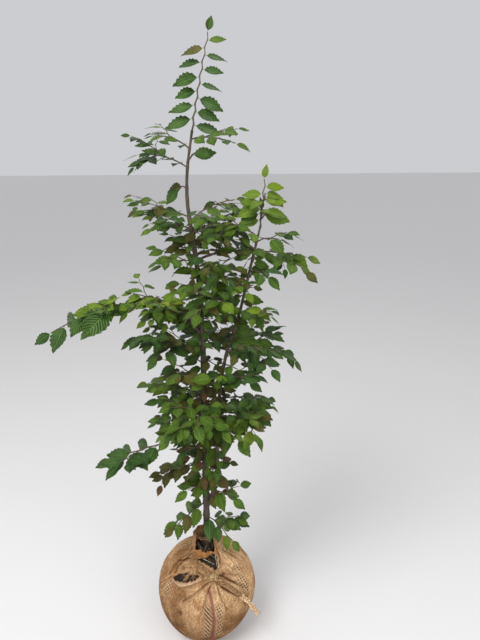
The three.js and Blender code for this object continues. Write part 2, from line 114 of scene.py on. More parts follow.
def addPiece(name, mesh, finish, slot, nodes=()):
    mesh.name = name
    mesh.transform(Matrix.Scale(0.001, 4))
    mesh.materials.clear()
    mesh.materials.append(finish)
    piece = newObject(name, mesh)
    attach(piece, "root")
    if nodes:
        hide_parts(*nodes)
    return piece


def meshFrom(bm, smooth=True):
    mesh = bpy.data.meshes.new("mesh")
    bm.to_mesh(mesh)
    bm.free()
    mesh.polygons.foreach_set("use_smooth", [smooth] * len(mesh.polygons))
    mesh.update()
    return mesh


def tubes(lines, roundness=1):
    # round tubes through lists of (point, radius), all in one mesh
    curve = bpy.data.curves.new("tubes", "CURVE")
    curve.dimensions = "3D"
    curve.bevel_depth = 1
    curve.bevel_resolution = roundness
    curve.use_fill_caps = True
    for line in lines:
        spline = curve.splines.new("POLY")
        spline.points.add(len(line) - 1)
        for target, (point, radius) in zip(spline.points, line):
            target.co = (*point, 1)
            target.radius = radius
    holder = newObject("tubes", curve)
    bpy.context.view_layer.update()
    ready = holder.evaluated_get(bpy.context.evaluated_depsgraph_get())
    mesh = bpy.data.meshes.new_from_object(ready)
    bpy.data.objects.remove(holder)
    bpy.data.curves.remove(curve)
    mesh.polygons.foreach_set("use_smooth", [True] * len(mesh.polygons))
    return mesh


def newFinish(name, roughness, specular=0.5):
    # a material, with short ways to add and join its nodes
    finish = bpy.data.materials.new(name)
    finish.use_nodes = True
    nodes, links = finish.node_tree.nodes, finish.node_tree.links
    shader = nodes["Principled BSDF"]
    shader.inputs["Roughness"].default_value = roughness
    shader.inputs["Specular IOR Level"].default_value = specular

    def add(kind, inputs=(), **settings):
        node = nodes.new(kind)
        for key, value in settings.items():
            setattr(node, key, value)
        for key, value in dict(inputs).items():
            if isinstance(value, bpy.types.NodeSocket):
                links.new(value, node.inputs[key])
            else:
                node.inputs[key].default_value = value
        return node

    def maths(operation, a, b=0.0, clamp=False):
        return add("ShaderNodeMath", {0: a, 1: b}, operation=operation, use_clamp=clamp).outputs[0]

    def times(a, b, clamp=False):
        return maths("MULTIPLY", a, b, clamp)

    def step(value, low, high):
        # 0 below low, 1 above high
        ends = {"Value": value, "From Min": low, "From Max": high}
        return add("ShaderNodeMapRange", ends, interpolation_type="SMOOTHSTEP").outputs[0]

    def mix(share, a, b, how="MIX"):
        a, b = (c if isinstance(c, bpy.types.NodeSocket) else (*c, 1) for c in (a, b))
        inputs = {0: share, 6: a, 7: b}
        return add("ShaderNodeMix", inputs, data_type="RGBA", blend_type=how).outputs[2]

    def grain(place, scale, detail, rough=0.5):
        inputs = {"Vector": place, "Scale": scale, "Detail": detail, "Roughness": rough}
        return add("ShaderNodeTexNoise", inputs).outputs[0]

    def stretched(place, scale):
        return add("ShaderNodeMapping", {"Vector": place, "Scale": scale}).outputs[0]

    def parts(place):
        return add("ShaderNodeSeparateXYZ", {0: place}).outputs

    def finished(shade, relief, strength, distance):
        bump = add("ShaderNodeBump", {"Height": relief, "Strength": strength, "Distance": distance})
        links.new(shade, shader.inputs["Base Color"])
        links.new(bump.outputs[0], shader.inputs["Normal"])
        return finish

    return SimpleNamespace(
        add=add, maths=maths, times=times, step=step, mix=mix, grain=grain, stretched=stretched,
        parts=parts, finished=finished, place=add("ShaderNodeTexCoord").outputs,
    )


def scaled(colour, by):
    return tuple(min(1, by * c) for c in colour)


# A leaf's colour, the paler one that mottles it, and its roughness.
leafTones = {
    "deep": ((0.034, 0.086, 0.012), (0.092, 0.182, 0.034), 0.36),
    "mid": ((0.068, 0.142, 0.011), (0.162, 0.272, 0.032), 0.38),
    "fresh": ((0.135, 0.240, 0.008), (0.245, 0.360, 0.036), 0.38),
    "olive": ((0.085, 0.086, 0.012), (0.160, 0.150, 0.032), 0.44),
    "brown": ((0.125, 0.066, 0.020), (0.215, 0.130, 0.050), 0.60),
}
# Vein pairs, their slope and the bump's depth; troughs is painted shade between the veins, and
# lines the paler midrib and veins, partly their own colour and partly a painted highlight.
veins = {"pairs": 11.0, "slope": 2.8, "depth": 0.0030, "troughShade": 0.65, "lines": 0.5}


def leafFinish(tone):
    face, pale, roughness = leafTones[tone]
    kit = newFinish(tone + "_leaf", roughness, 0.32)
    parts = kit.parts(kit.place["UV"])
    side = kit.times(kit.maths("ABSOLUTE", kit.maths("SUBTRACT", parts[1], 0.5)), 2.0)
    slope = kit.times(side, veins["slope"])
    phase = kit.maths("SUBTRACT", kit.times(parts[0], veins["pairs"]), slope)
    wave = kit.maths("COSINE", kit.times(phase, 2 * pi))
    midrib = kit.step(side, 0.085, 0.02)
    lines = kit.maths("MAXIMUM", kit.times(kit.step(wave, 0.72, 1.0), 0.55), midrib)
    mottle = kit.grain(kit.place["Object"], 26.0, 3.0)
    broad = kit.grain(kit.place["Object"], 7.0, 1.0)
    shade = kit.mix(kit.step(mottle, 0.35, 0.75), face, pale)
    warm = kit.mix(kit.step(broad, 0.35, 0.7), (0.78, 0.86, 0.9), (1.25, 1.12, 0.95))
    shade = kit.mix(1.0, shade, warm, "MULTIPLY")
    # painted shade between the veins
    troughShade = kit.times(kit.step(wave, 0.2, -0.8), veins["troughShade"])
    shade = kit.mix(troughShade, shade, scaled(face, 0.40))
    # the paler midrib and veins, partly their own colour and partly a painted highlight
    shade = kit.mix(kit.times(lines, veins["lines"]), shade, tuple(1.7 * c + 0.02 for c in pale))
    relief = kit.maths("SUBTRACT", kit.times(wave, -0.5), kit.times(midrib, 1.2))
    return kit.finished(shade, relief, 0.7, veins["depth"])


def barkFinish(name, dark, light, streak):
    kit = newFinish(name, 0.72)
    place = kit.place["Object"]
    streaks = kit.grain(kit.stretched(place, (1.0, 1.0, streak)), 420.0, 5.0, 0.62)
    shade = kit.mix(kit.step(streaks, 0.35, 0.68), dark, light)
    shade = kit.mix(kit.step(kit.grain(place, 38.0, 3.0), 0.45, 0.75), shade, scaled(dark, 0.5))
    level = kit.stretched(place, (1.0, 1.0, 3.2))
    pores = kit.add("ShaderNodeTexVoronoi", {"Vector": level, "Scale": 95.0})
    spots = kit.times(kit.step(pores.outputs[0], 0.16, 0.10), 0.55)
    shade = kit.mix(spots, shade, scaled(light, 1.9))
    # darker towards the foot of the stems
    lowDarkening = kit.times(kit.step(kit.parts(place)[2], 0.62, 0.30), 0.6)
    shade = kit.mix(lowDarkening, shade, scaled(dark, 0.35))
    return kit.finished(shade, kit.maths("ADD", streaks, spots), 0.8, 0.0009)


def soilFinish():
    kit = newFinish("moist_soil", 0.95)
    crumbs = kit.grain(kit.place["Object"], 160.0, 8.0, 0.7)
    shade = kit.mix(kit.step(crumbs, 0.35, 0.7), (0.012, 0.007, 0.004), (0.060, 0.036, 0.020))
    return kit.finished(shade, crumbs, 1.0, 0.006)


weave = {
    "pitch": 0.0036, "openPitch": 0.0080, "slitPitch": 0.0082, "openTurn": 32, "slitTurn": 44,
    "light": (0.90, 0.64, 0.39), "dark": (0.44, 0.245, 0.110), "gap": (0.11, 0.060, 0.028),
    "ridgeHighlight": (0.80, 0.62, 0.42), "thin": (0.74, 0.50, 0.29), "hole": (0.055, 0.025, 0.012),
}
# Colours of the cloth's marks, and how much of each shows at most; creased is painted shade in the
# folds and beside the seam.
clothMarks = {
    "warm": ((0.42, 0.17, 0.05), 0.7), "pink": ((0.36, 0.13, 0.11), 0.6),
    "creased": ((0.12, 0.052, 0.019), 1.3), "stained": ((0.035, 0.018, 0.010), 0.9),
}


def hessianFinish():
    # plain weave: warp along the UV's first axis and weft along its second, both in metres
    kit = newFinish("hessian", 0.95, 0.15)
    flat, spot = kit.place["UV"], kit.parts(kit.place["Object"])
    shift = kit.times(kit.maths("SUBTRACT", kit.grain(flat, 40.0, 2.0), 0.5), 0.010)
    across, along = [kit.maths("ADD", part, shift) for part in kit.parts(flat)[:2]]

    def wave(value, pitch):
        # from 0 to 1, as the node adds 0.5 by itself
        return kit.maths("MULTIPLY_ADD", kit.maths("SINE", kit.times(value, 2 * pi / pitch)), 0.5)

    def mark(name):
        return kit.add("ShaderNodeAttribute", attribute_name=name).outputs["Fac"]

    def blotches(scale, detail, low, high, rough=0.5):
        return kit.step(kit.grain(kit.place["Object"], scale, detail, rough), low, high)

    cloth = kit.maths("MAXIMUM", wave(across, weave["pitch"]), wave(along, weave["pitch"]))
    slubs = kit.grain(kit.stretched(flat, (30.0, 260.0, 1.0)), 1.0, 3.0)
    shade = kit.mix(kit.step(slubs, 0.3, 0.7), weave["dark"], weave["light"])
    for tint in (
        (blotches(16.0, 5.0, 0.38, 0.66), (1.12, 1.10, 1.08), (0.66, 0.54, 0.43)),
        (blotches(150.0, 4.0, 0.34, 0.66, 0.7), (0.66, 0.60, 0.52), (1.20, 1.20, 1.19)),
        # painted shade, low down and on the cloth's left side and shoulder
        (mark("painted_shade"), (1.0, 1.0, 1.0), (0.42, 0.33, 0.25)),
    ):
        shade = kit.mix(1.0, shade, kit.mix(*tint), "MULTIPLY")
    shade = kit.mix(kit.times(kit.step(cloth, 0.75, 0.35), 0.45), shade, weave["gap"])
    # creased is painted shade in the folds and beside the seam
    for name, (colour, most) in clothMarks.items():
        shade = kit.mix(kit.times(mark(name), most, True), shade, colour)
    # painted highlight on standing folds, where the creased mark is below zero
    shade = kit.mix(kit.times(mark("creased"), -0.9, True), shade, weave["ridgeHighlight"])
    # the open weave is evenly spaced as seen from the front and above, where its patches are
    over = kit.maths("ADD", kit.times(spot[1], 0.72), kit.times(spot[2], 0.69))

    def rows(turn, pitch):
        a = radians(turn)
        slope = kit.maths("ADD", kit.times(spot[0], cos(a)), kit.times(over, sin(a)))
        return wave(kit.maths("ADD", slope, kit.times(shift, 0.9)), pitch)

    ways = [rows(weave["openTurn"] + turn, weave["openPitch"]) for turn in (0, 90)]
    wide = kit.maths("MAXIMUM", *ways)
    worn = kit.times(mark("open"), blotches(75.0, 2.0, 0.20, 0.42))
    holes = kit.times(kit.step(wide, 0.80, 0.58), worn, True)
    whole = blotches(110.0, 2.0, 0.25, 0.45)
    broken = kit.maths("MINIMUM", rows(weave["slitTurn"], weave["slitPitch"]), whole)
    slits = kit.times(kit.step(broken, 0.40, 0.66), mark("slits"), True)
    dark = kit.maths("MAXIMUM", holes, slits)
    thin = kit.times(kit.maths("MAXIMUM", mark("open"), mark("slits")), 0.5, True)
    shade = kit.mix(thin, shade, weave["thin"])
    shade = kit.mix(kit.times(dark, 0.88), shade, weave["hole"])
    return kit.finished(shade, kit.maths("SUBTRACT", cloth, kit.times(dark, 1.5)), 0.7, 0.0009)


def fibreFinish(name, colour):
    kit = newFinish(name, 0.9)
    fibres = kit.grain(kit.place["Object"], 210.0, 4.0)
    shade = kit.mix(kit.step(fibres, 0.34, 0.66), scaled(colour, 0.34), scaled(colour, 1.30))
    return kit.finished(shade, fibres, 0.6, 0.0008)


barkStem = barkFinish("stem_bark", (0.048, 0.033, 0.022), (0.130, 0.098, 0.070), 0.12)
barkTwig = barkFinish("twig_bark", (0.070, 0.042, 0.026), (0.150, 0.098, 0.062), 0.3)
moistSoil = soilFinish()
hessian = hessianFinish()
# the jute's own colour darkened with painted shade, for the twisted corners and the loose threads
jute = fibreFinish("jute_with_painted_shade", (0.33, 0.185, 0.080))
paleJute = fibreFinish("pale_jute", (0.72, 0.49, 0.28))
knotCloth = fibreFinish("knot_cloth", (0.44, 0.29, 0.13))
redThread = fibreFinish("seam_thread", (0.42, 0.13, 0.12))
rootSkin = fibreFinish("root_skin", (0.20, 0.13, 0.085))
strawSkin = fibreFinish("straw_skin", (0.62, 0.55, 0.42))
print("finishes done")

# The stems' lines are rows of (height, x, y).
trunk = {
    "line": [
        (286.3, 4, 0), (480, 7, 0), (740, 9, 2), (990, 13, 0),
        (1210, 7, -2), (1400, -14, 0), (1475, -12, 2), (1572, 4, 0),
    ],
    "foot": 11.5, "tip": 2.6, "flare": 6, "flareHeight": 26,
}
secondStem = {
    "line": [
        (452, 7, 0), (520, 29, -8), (610, 44, -16), (815, 53, -24),
        (975, 75, -30), (1115, 117, -32), (1250, 149, -32), (1345, 172, -32),
    ],
    "foot": 6.5, "tip": 2.6,
}
boughs = {
    "left_arch_bough": (1035, 195, 200, 95, 92, 4.4, 2.6),
    "right_long_bough": (1250, 5, 150, 22, 22, 3.6, 2.3),
    "low_left_bough": (690, 195, 125, 22, 60, 4.2, 2.6),
}
boughColumns = ("at", "heading", "reach", "rise", "arch", "foot", "tip")


def splineThrough(points):
    # even curve through the points, by the square root of their distances
    ends = [2 * points[0] - points[1]] + points + [2 * points[-1] - points[-2]]

    def at(t):
        place = (len(points) - 1) * min(max(t, 0), 1)
        k = min(int(place), len(points) - 2)
        a, b, c, d = ends[k:k + 4]
        s = place - k
        gaps = [(q - p).length ** 0.5 for p, q in ((a, b), (b, c), (c, d))]
        outward = ((b - a) / gaps[0] - (c - a) / (gaps[0] + gaps[1]) + (c - b) / gaps[1]) * gaps[1]
        inward = ((c - b) / gaps[1] - (d - b) / (gaps[1] + gaps[2]) + (d - c) / gaps[2]) * gaps[1]
        return (
            b + outward * s
            + (3 * (c - b) - 2 * outward - inward) * s ** 2
            + (2 * (b - c) + outward + inward) * s ** 3
        )

    return at


def archThrough(a, b, c):
    return lambda t: (1 - t) ** 2 * a + 2 * (1 - t) * t * b + t * t * c


def archedLine(start, heading, reach, rise, arch):
    out = towards(heading)
    crest = start + out * 0.42 * reach + up * (0.5 * rise + arch)
    return archThrough(start, crest, start + out * reach + up * rise)


def alongOf(at, t):
    low, high = max(t - 1e-4, 0), min(t + 1e-4, 1)
    return (at(high) - at(low)).normalized()


def lengthOf(at):
    points = [at(i / 200) for i in range(201)]
    return sum((q - p).length for p, q in zip(points, points[1:]))


def placeOn(at, place):
    if place <= 1:
        return at(place)
    low, high = 0, 1
    for _ in range(30):
        middle = (low + high) / 2
        low, high = (middle, high) if at(middle).z < place else (low, middle)
    return at(low)


def tapering(limb):
    return lambda t, point: limb["foot"] + (limb["tip"] - limb["foot"]) * t


def trunkRadius(t, point):
    flare = trunk["flare"] * exp((286 - point.z) / trunk["flareHeight"])
    return trunk["foot"] + (trunk["tip"] - trunk["foot"]) * t ** 0.8 + flare


limbs = {}
stems = {"trunk": (trunk, trunkRadius), "second_stem": (secondStem, tapering(secondStem))}
for name, (stem, radius) in stems.items():
    points = [Vector((x, y, z)) for z, x, y in stem["line"]]
    limbs[name] = {"at": splineThrough(points), "radius": radius}
for name, row in boughs.items():
    bough = dict(zip(boughColumns, row))
    start = placeOn(limbs["trunk"]["at"], bough["at"])
    limbs[name] = {
        "at": archedLine(start, bough["heading"], bough["reach"], bough["rise"], bough["arch"]),
        "radius": tapering(bough),
    }

# The shoots grow by the rule of the solids.
endShoots = {
    "leader": ("trunk", 0, 46, 248, 0, 72, 15, 0, "deep"),
    "second_top": ("second_stem", 0, 10, 148, 0, 70, 16, 0, "fresh"),
    "arch_outer": ("left_arch_bough", 195, 256, -52, 40, 80, 29, 0, "deep"),
    "right_outer": ("right_long_bough", 3, 194, -24, 10, 62, 19, 0.4, "mid"),
    "low_left_outer": ("low_left_bough", 195, 208, -36, 8, 76, 25, 0.3, "deep"),
}
endShootColumns = ("on", "heading", "reach", "rise", "arch", "leaf", "internode", "twiggy", "tone")
shoots = [
    ("trunk", {
        "top_left": (1530, 172, 128, 26, 58, 0.5, "mid"),
        "top_right": (1552, 345, 156, -16, 54, 0.3, "mid"),
        "upper_left": (1486, 190, 162, 26, 58, 0.6, "deep"),
        "upper_right": (1500, 316, 96, 14, 78, 0, "deep"),
        "neck_left": (1436, 200, 88, -8, 82, 0, "deep"),
        "left_high": (1364, 166, 188, 6, 56, 0.7, "mid"),
        "left_high_front": (1334, 208, 148, 2, 56, 0.7, "mid"),
        "left_middle_back": (1274, 152, 132, -2, 56, 0.7, "olive"),
        "left_middle": (1246, 204, 138, -4, 58, 0.8, "mid"),
        "left_slight": (1186, 192, 100, -14, 54, 0.6, "mid"),
        "right_high": (1354, 20, 172, 44, 60, 0.7, "mid"),
        "right_high_front": (1320, 338, 168, 20, 60, 0.8, "mid"),
        "right_high_back": (1292, 46, 180, 8, 60, 0.7, "olive"),
        "right_middle": (1206, 340, 150, 20, 64, 0.9, "mid"),
        "left_above_arch": (1078, 168, 200, 34, 64, 0.9, "mid"),
    }),
    ("left_arch_bough", {
        "arch_inner": (0.36, 218, 132, 16, 60, 0.6, "mid"),
        "arch_upper": (0.6, 168, 124, 22, 60, 0.6, "fresh"),
        "arch_front": (0.82, 222, 92, -14, 62, 0.3, "mid"),
    }),
    ("trunk", {
        "left_below_arch": (985, 190, 222, 44, 70, 1, "deep"),
        "left_middle_low": (912, 214, 150, 14, 68, 0.8, "olive"),
        "left_low": (846, 180, 200, 34, 72, 0.9, "mid"),
        "left_low_back": (796, 148, 178, -2, 72, 0.9, "deep"),
        "left_low_front": (738, 216, 174, 4, 74, 0.9, "mid"),
        "left_drooping": (606, 160, 186, -42, 74, 0.6, "olive"),
        "left_short": (536, 218, 124, 12, 74, 0.2, "mid"),
        "foot_left": (478, 200, 168, -74, 76, 0.3, "mid"),
        "foot_right": (432, 335, 150, -78, 76, 0.3, "mid"),
    }),
    ("second_stem", {
        "right_short": (530, 340, 122, -20, 74, 0.6, "mid"),
        "second_low_front": (766, 318, 140, -24, 80, 0.6, "mid"),
        "second_low": (806, 350, 176, -14, 74, 0.9, "mid"),
        "second_low_back": (850, 18, 164, -20, 74, 0.9, "deep"),
        "second_inner_front": (896, 226, 118, 26, 70, 0.9, "mid"),
        "second_middle": (930, 330, 146, -6, 74, 0.8, "deep"),
        "second_long": (1000, 346, 210, 6, 72, 1, "deep"),
        "second_back": (1030, 36, 146, -20, 72, 0.8, "mid"),
        "second_high": (1112, 352, 136, -10, 68, 0.9, "mid"),
        "second_inner_low": (1170, 196, 100, 10, 64, 0.9, "mid"),
        "second_high_front": (1226, 330, 104, -12, 66, 0.8, "mid"),
        "second_high_back": (1304, 8, 112, -2, 66, 0.8, "mid"),
        "second_inner": (1316, 205, 112, 16, 66, 0.9, "fresh"),
    }),
]
shootColumns = ("at", "heading", "reach", "rise", "leaf", "twiggy", "tone")
fill = {
    "count": 5, "lowest": 650, "highest": 1310, "turn": 30, "phase": 0.9,
    "leaf": 72, "twiggy": 1, "rise": 16,
}
fillReach = [(500, 150), (750, 205), (1000, 215), (1250, 170), (1500, 110)]
twigRule = {
    "internode": 19, "zigzag": 2, "taper": 0.3, "arch": 0.12, "foot": 2.1, "tip": 1.2,
    "upright": 0.8, "most": 95, "spare": 25, "lift": 6, "rise": 20, "droop": 30, "bareEnd": 0.75,
    "ownTone": 0.7, "leafShare": 0.85, "leafTurns": (0, 0.5, -0.5, 0.9), "endLeaf": 0.7,
}
# Side twigs and their finer twigs.
sideTwigs = {
    1: {"turn": 46, "foot": 1.4, "tip": 0.8},
    2: {"turn": 44, "foot": 0.9, "tip": 0.6, "reach": 44, "chance": 0.5},
}
leafSizes = (1.0, 0.9, 0.72)  # on a shoot, its side twigs and their finer twigs
# How often a spray of one tone is dealt another.
dealt = {
    "deep": [("deep", 0.72), ("mid", 0.18), ("olive", 0.10)],
    "mid": [("mid", 0.58), ("deep", 0.26), ("fresh", 0.09), ("olive", 0.07)],
    "fresh": [("fresh", 0.80), ("mid", 0.20)],
    "olive": [("olive", 0.45), ("deep", 0.30), ("mid", 0.20), ("brown", 0.05)],
    "brown": [("brown", 0.50), ("olive", 0.50)],
}
hosts = dict(limbs)  # what a shoot can grow on


def sidewaysOf(along):
    if along.z > twigRule["upright"]:
        return Vector((-1, 0, 0))
    return up.cross(along).normalized()


def layTwig(at, foot, tip, random, internode=twigRule["internode"]):
    length = lengthOf(at)
    joints = max(2, int(length / internode + 0.5))
    firstSide = 1 if random() < 0.5 else -1
    sides, points, alongs = [0], [at(0)], [alongOf(at, 0)]
    for i in range(1, joints + 1):
        along = alongOf(at, i / joints)
        sides.append(firstSide if i % 2 else -firstSide)
        points.append(at(i / joints) + sidewaysOf(along) * sides[i] * twigRule["zigzag"])
        alongs.append(along)
    return {
        "length": length, "joints": joints, "sides": sides, "points": points, "alongs": alongs,
        "foot": foot, "tip": tip,
    }


def layShoot(name, row, seed):
    limb = hosts[row["on"]]
    random = randomFrom(seed)
    if "at" in row:
        start = placeOn(limb["at"], row["at"])
        reach, rise = row["reach"] - 0.8 * row["leaf"], row["rise"] + 0.1 * row["leaf"]
        line = archedLine(start, row["heading"], reach, rise, twigRule["arch"] * row["reach"])
        foot = twigRule["foot"]
    else:
        end = limb["at"](1)
        upright = row["rise"] > row["reach"]
        reach = row["reach"] if upright else row["reach"] - 0.8 * row["leaf"]
        rise = row["rise"] - 0.5 * row["leaf"] if upright else row["rise"] + 0.1 * row["leaf"]
        line = archedLine(end, row["heading"], reach, rise, row["arch"])
        foot = limb["radius"](1, end)
    twig = layTwig(line, foot, twigRule["tip"], random, row.get("internode", twigRule["internode"]))
    return {**row, "name": name, "twig": twig, "random": random, "deal": randomFrom(seed + 900)}


# How near a leaf may come to the stems, and the top and reach of the ball, which it keeps off.
keepOff = {"level": 16, "gap": 3, "ballTop": 312, "ballReach": 96}
stemPath = []
for name, steps in (("trunk", 60), ("second_stem", 40)):
    for i in range(steps + 1):
        centre = limbs[name]["at"](i / steps)
        stemPath.append((centre, limbs[name]["radius"](i / steps, centre)))


def hitsStem(point):
    for centre, radius in stemPath:
        away = centre - point
        if abs(away.z) < keepOff["level"] and away.xy.length < radius + keepOff["gap"]:
            return True
    return point.z < keepOff["ballTop"] and point.xy.length < keepOff["ballReach"]


# Shoots whose side leaves are larger.
larger = {"arch_outer_shoot": 1.45, "low_left_outer_shoot": 1.10, "right_outer_shoot": 1.15}
# Shoots whose leaves turn to the front more than the others'.
facing = {
    "neck_left_shoot": 2.2, "upper_right_shoot": 2.2, "arch_outer_shoot": 1.3,
    "low_left_outer_shoot": 1.2, "foot_left_shoot": 1.2, "foot_right_shoot": 1.2, "inner": 0.8,
}


def outside(point):
    # beyond the box of the solids, by more than a leaf's curl
    low, high = solidsBox
    return any(point[k] < 1000 * low[k] - 3 or point[k] > 1000 * high[k] + 3 for k in range(3))


def addLeaf(mass, random, at, along, side, share, size, tone):
    upright = along.z > twigRule["upright"]
    spread = radians((70 if upright else 50) + 16 * random())
    droop = 0.15 + 0.5 * random() if upright else 0.06 + 0.5 * random() ** 2
    sway = Vector((random() - 0.5, random() - 0.5, 0))
    length = size * mass["leaf"] * (0.8 + 0.32 * random()) * (1 - twigRule["taper"] * share ** 2)
    if side:
        length *= larger.get(mass["name"], 1)
        point = along * cos(spread) + sidewaysOf(along) * side * sin(spread) - up * droop
    else:
        point = along - up * droop / 2
        length *= twigRule["endLeaf"] if upright else 1
    point.normalize()
    face = up + front * (1.2 if upright else facing.get(mass["name"], 0.5)) + sway
    for turn in twigRule["leafTurns"]:
        way = turned(point, turn)
        tip = at + way * length
        if outside(tip) or hitsStem(at + way * 0.35 * length) or hitsStem(tip):
            continue
        leaves.append({"at": at, "along": way, "face": face, "length": length, "tone": tone})
        return


def dealTone(mass):
    draw = mass["deal"]()
    for tone, share in dealt[mass["tone"]]:
        draw -= share
        if draw <= 0:
            return tone
    return mass["tone"]


def dressTwig(mass, twig, random, level):
    tone = mass["tone"] if level == 0 else dealTone(mass)
    joints, points = twig["joints"], twig["points"]
    for i in range(1, joints + 1):
        share, last = i / joints, i == joints
        climb = twigRule["rise"] if i // 2 % 2 else -twigRule["droop"]
        bears = level == 0 and i >= 2 and share < twigRule["bareEnd"] and random() < mass["twiggy"]
        place = points[i - 1].lerp(points[i], 1 if last else twigRule["leafShare"])
        leafTone = tone if mass["deal"]() < twigRule["ownTone"] else dealTone(mass)
        side = 0 if last else twig["sides"][i]
        addLeaf(mass, random, place, twig["alongs"][i], side, share, leafSizes[level], leafTone)
        if level == 1 and not last and mass["deal"]() < sideTwigs[2]["chance"] * mass["twiggy"]:
            own = randomFrom(int(mass["deal"]() * 1e6))
            growSide(mass, twig, i, climb / 2, own, sideTwigs[2]["reach"], 2)
        if bears:
            own = randomFrom(int(random() * 1e6))
            reach = min(twigRule["most"], (1 - share) * twig["length"] + twigRule["spare"])
            growSide(mass, twig, i, climb, own, reach, 1)


def growSide(mass, twig, i, climb, random, reach, level):
    start, along, rule = twig["points"][i], twig["alongs"][i], sideTwigs[level]
    turn = radians(rule["turn"])
    out = along * cos(turn) + sidewaysOf(along) * twig["sides"][i] * sin(turn)
    crest = start + out * reach / 2 + up * (climb / 2 + twigRule["lift"])
    line = archThrough(start, crest, start + out * reach + up * climb)
    side = layTwig(line, rule["foot"], rule["tip"], random)
    if outside(side["points"][-1]):
        return
    twigs.append(side)
    dressTwig(mass, side, random, level)


leaves, twigs, masses = [], [], []
seed = 11
for name, row in endShoots.items():
    masses.append(layShoot(name + "_shoot", dict(zip(endShootColumns, row)), seed))
    seed += 1
for on, group in shoots:
    for name, row in group.items():
        masses.append(layShoot(name + "_shoot", {"on": on, **dict(zip(shootColumns, row))}, seed))
        seed += 1
for i in range(fill["count"]):
    height = fill["lowest"] + (fill["highest"] - fill["lowest"]) * i / (fill["count"] - 1)
    heading = (270 if i % 2 else 90) + fill["turn"] * sin(2.4 * i + fill["phase"])
    row = {**fill, "on": "trunk", "at": height, "heading": heading}
    row.update({"reach": lookUp(fillReach, height), "tone": "mid" if i % 2 else "deep"})
    masses.append(layShoot(("front" if i % 2 else "back") + "_shoot_" + str(i + 1), row, seed))
    seed += 1
shootNodes = [mass["name"] for mass in masses]

# Short leafy twigs close to the stems, which fill the plant between its shoots: from which height
# to which, how far apart and how long at most.
inner = {"trunk": (500, 1350, 10.5, 104), "second_stem": (560, 1310, 13, 84)}
innerRule = {
    "turn": 137.5, "wander": 40, "shortest": 0.5, "leaf": 54, "rise": 14, "twiggy": 0.5,
    "brownBelow": 640, "brown": 0.35, "olive": 0.45,
}
# Others along the boughs: how many, how long, how large their leaves, and their tones in turn.
alongBoughs = {
    "left_arch_bough": (30, 68, 48, ("mid", "fresh", "olive")),
    "arch_outer_shoot": (14, 62, 56, ("mid", "fresh", "mid")),
    "second_top_shoot": (9, 74, 62, ("fresh", "mid", "fresh")),
    "right_long_bough": (7, 52, 50, ("mid", "deep")),
    "low_left_bough": (5, 54, 54, ("deep", "mid")),
}
alongRule = {
    "from": 0.18, "over": 0.8, "shortest": 0.6, "rise": 14, "twiggy": 0.3, "shootShare": 0.6,
}
innerDraw = randomFrom(4321)


def innerLeaf(size):
    return size * (0.85 + 0.3 * innerDraw())


def innerReach(most, rule):
    return most * (rule["shortest"] + (1 - rule["shortest"]) * innerDraw())


for on, (lowest, highest, step, most) in inner.items():
    for i in range(int((highest - lowest) / step)):
        height = lowest + step * (i + innerDraw())
        heading = innerRule["turn"] * i + innerRule["wander"] * innerDraw()
        row = {"on": on, "at": height, "heading": heading, "reach": innerReach(most, innerRule)}
        browned = height < innerRule["brownBelow"] and innerDraw() < innerRule["brown"]
        row["tone"] = "brown" if browned else "olive" if innerDraw() < innerRule["olive"] else "mid"
        row["rise"] = innerRule["rise"] * (2 * innerDraw() - 1)
        row.update({"leaf": innerLeaf(innerRule["leaf"]), "twiggy": innerRule["twiggy"]})
        masses.append(layShoot("inner", row, 2000 + len(masses)))
for mass in masses:
    if mass["name"] in alongBoughs:
        line = splineThrough(mass["twig"]["points"])
        hosts[mass["name"]] = {"at": lambda t, line=line: line(alongRule["shootShare"] * t)}
for on, (count, most, size, tones) in alongBoughs.items():
    for i in range(count):
        row = {
            "on": on, "at": alongRule["from"] + alongRule["over"] * (i + innerDraw()) / count,
            "heading": 360 * innerDraw(), "reach": innerReach(most, alongRule),
            "rise": alongRule["rise"] * innerDraw(), "leaf": innerLeaf(size),
            "twiggy": alongRule["twiggy"], "tone": tones[i % len(tones)],
        }
        masses.append(layShoot("inner", row, 3000 + len(masses)))
for mass in masses:
    twigs.append(mass["twig"])
    dressTwig(mass, mass["twig"], mass["random"], 0)
print("grown:", len(twigs), "twigs and", len(leaves), "leaves")

# One leaf, in shares of its length; its outline is rows of (place, half width).
leafShape = {
    "steps": 12, "stalk": 0.10, "teeth": 0.026, "slant": 0.14, "pleat": 0.012,
    "outline": [
        (0, 0.02), (0.05, 0.12), (0.14, 0.20), (0.28, 0.25), (0.42, 0.25), (0.58, 0.212),
        (0.72, 0.155), (0.84, 0.082), (0.93, 0.028), (1, 0.0),
    ],
}
# How six leaves fold up from the midrib, hang at the end, curl at the rim and twist, as shares of
# their length.
leafBends = [
    (0.16, 0.10, 0.05, 0.2), (0.30, 0.16, 0.10, -0.3), (0.08, 0.06, 0.02, 0.1),
    (0.22, 0.16, 0.12, 0.4), (0.38, 0.12, 0.08, -0.1), (0.12, 0.20, 0.14, -0.4),
]


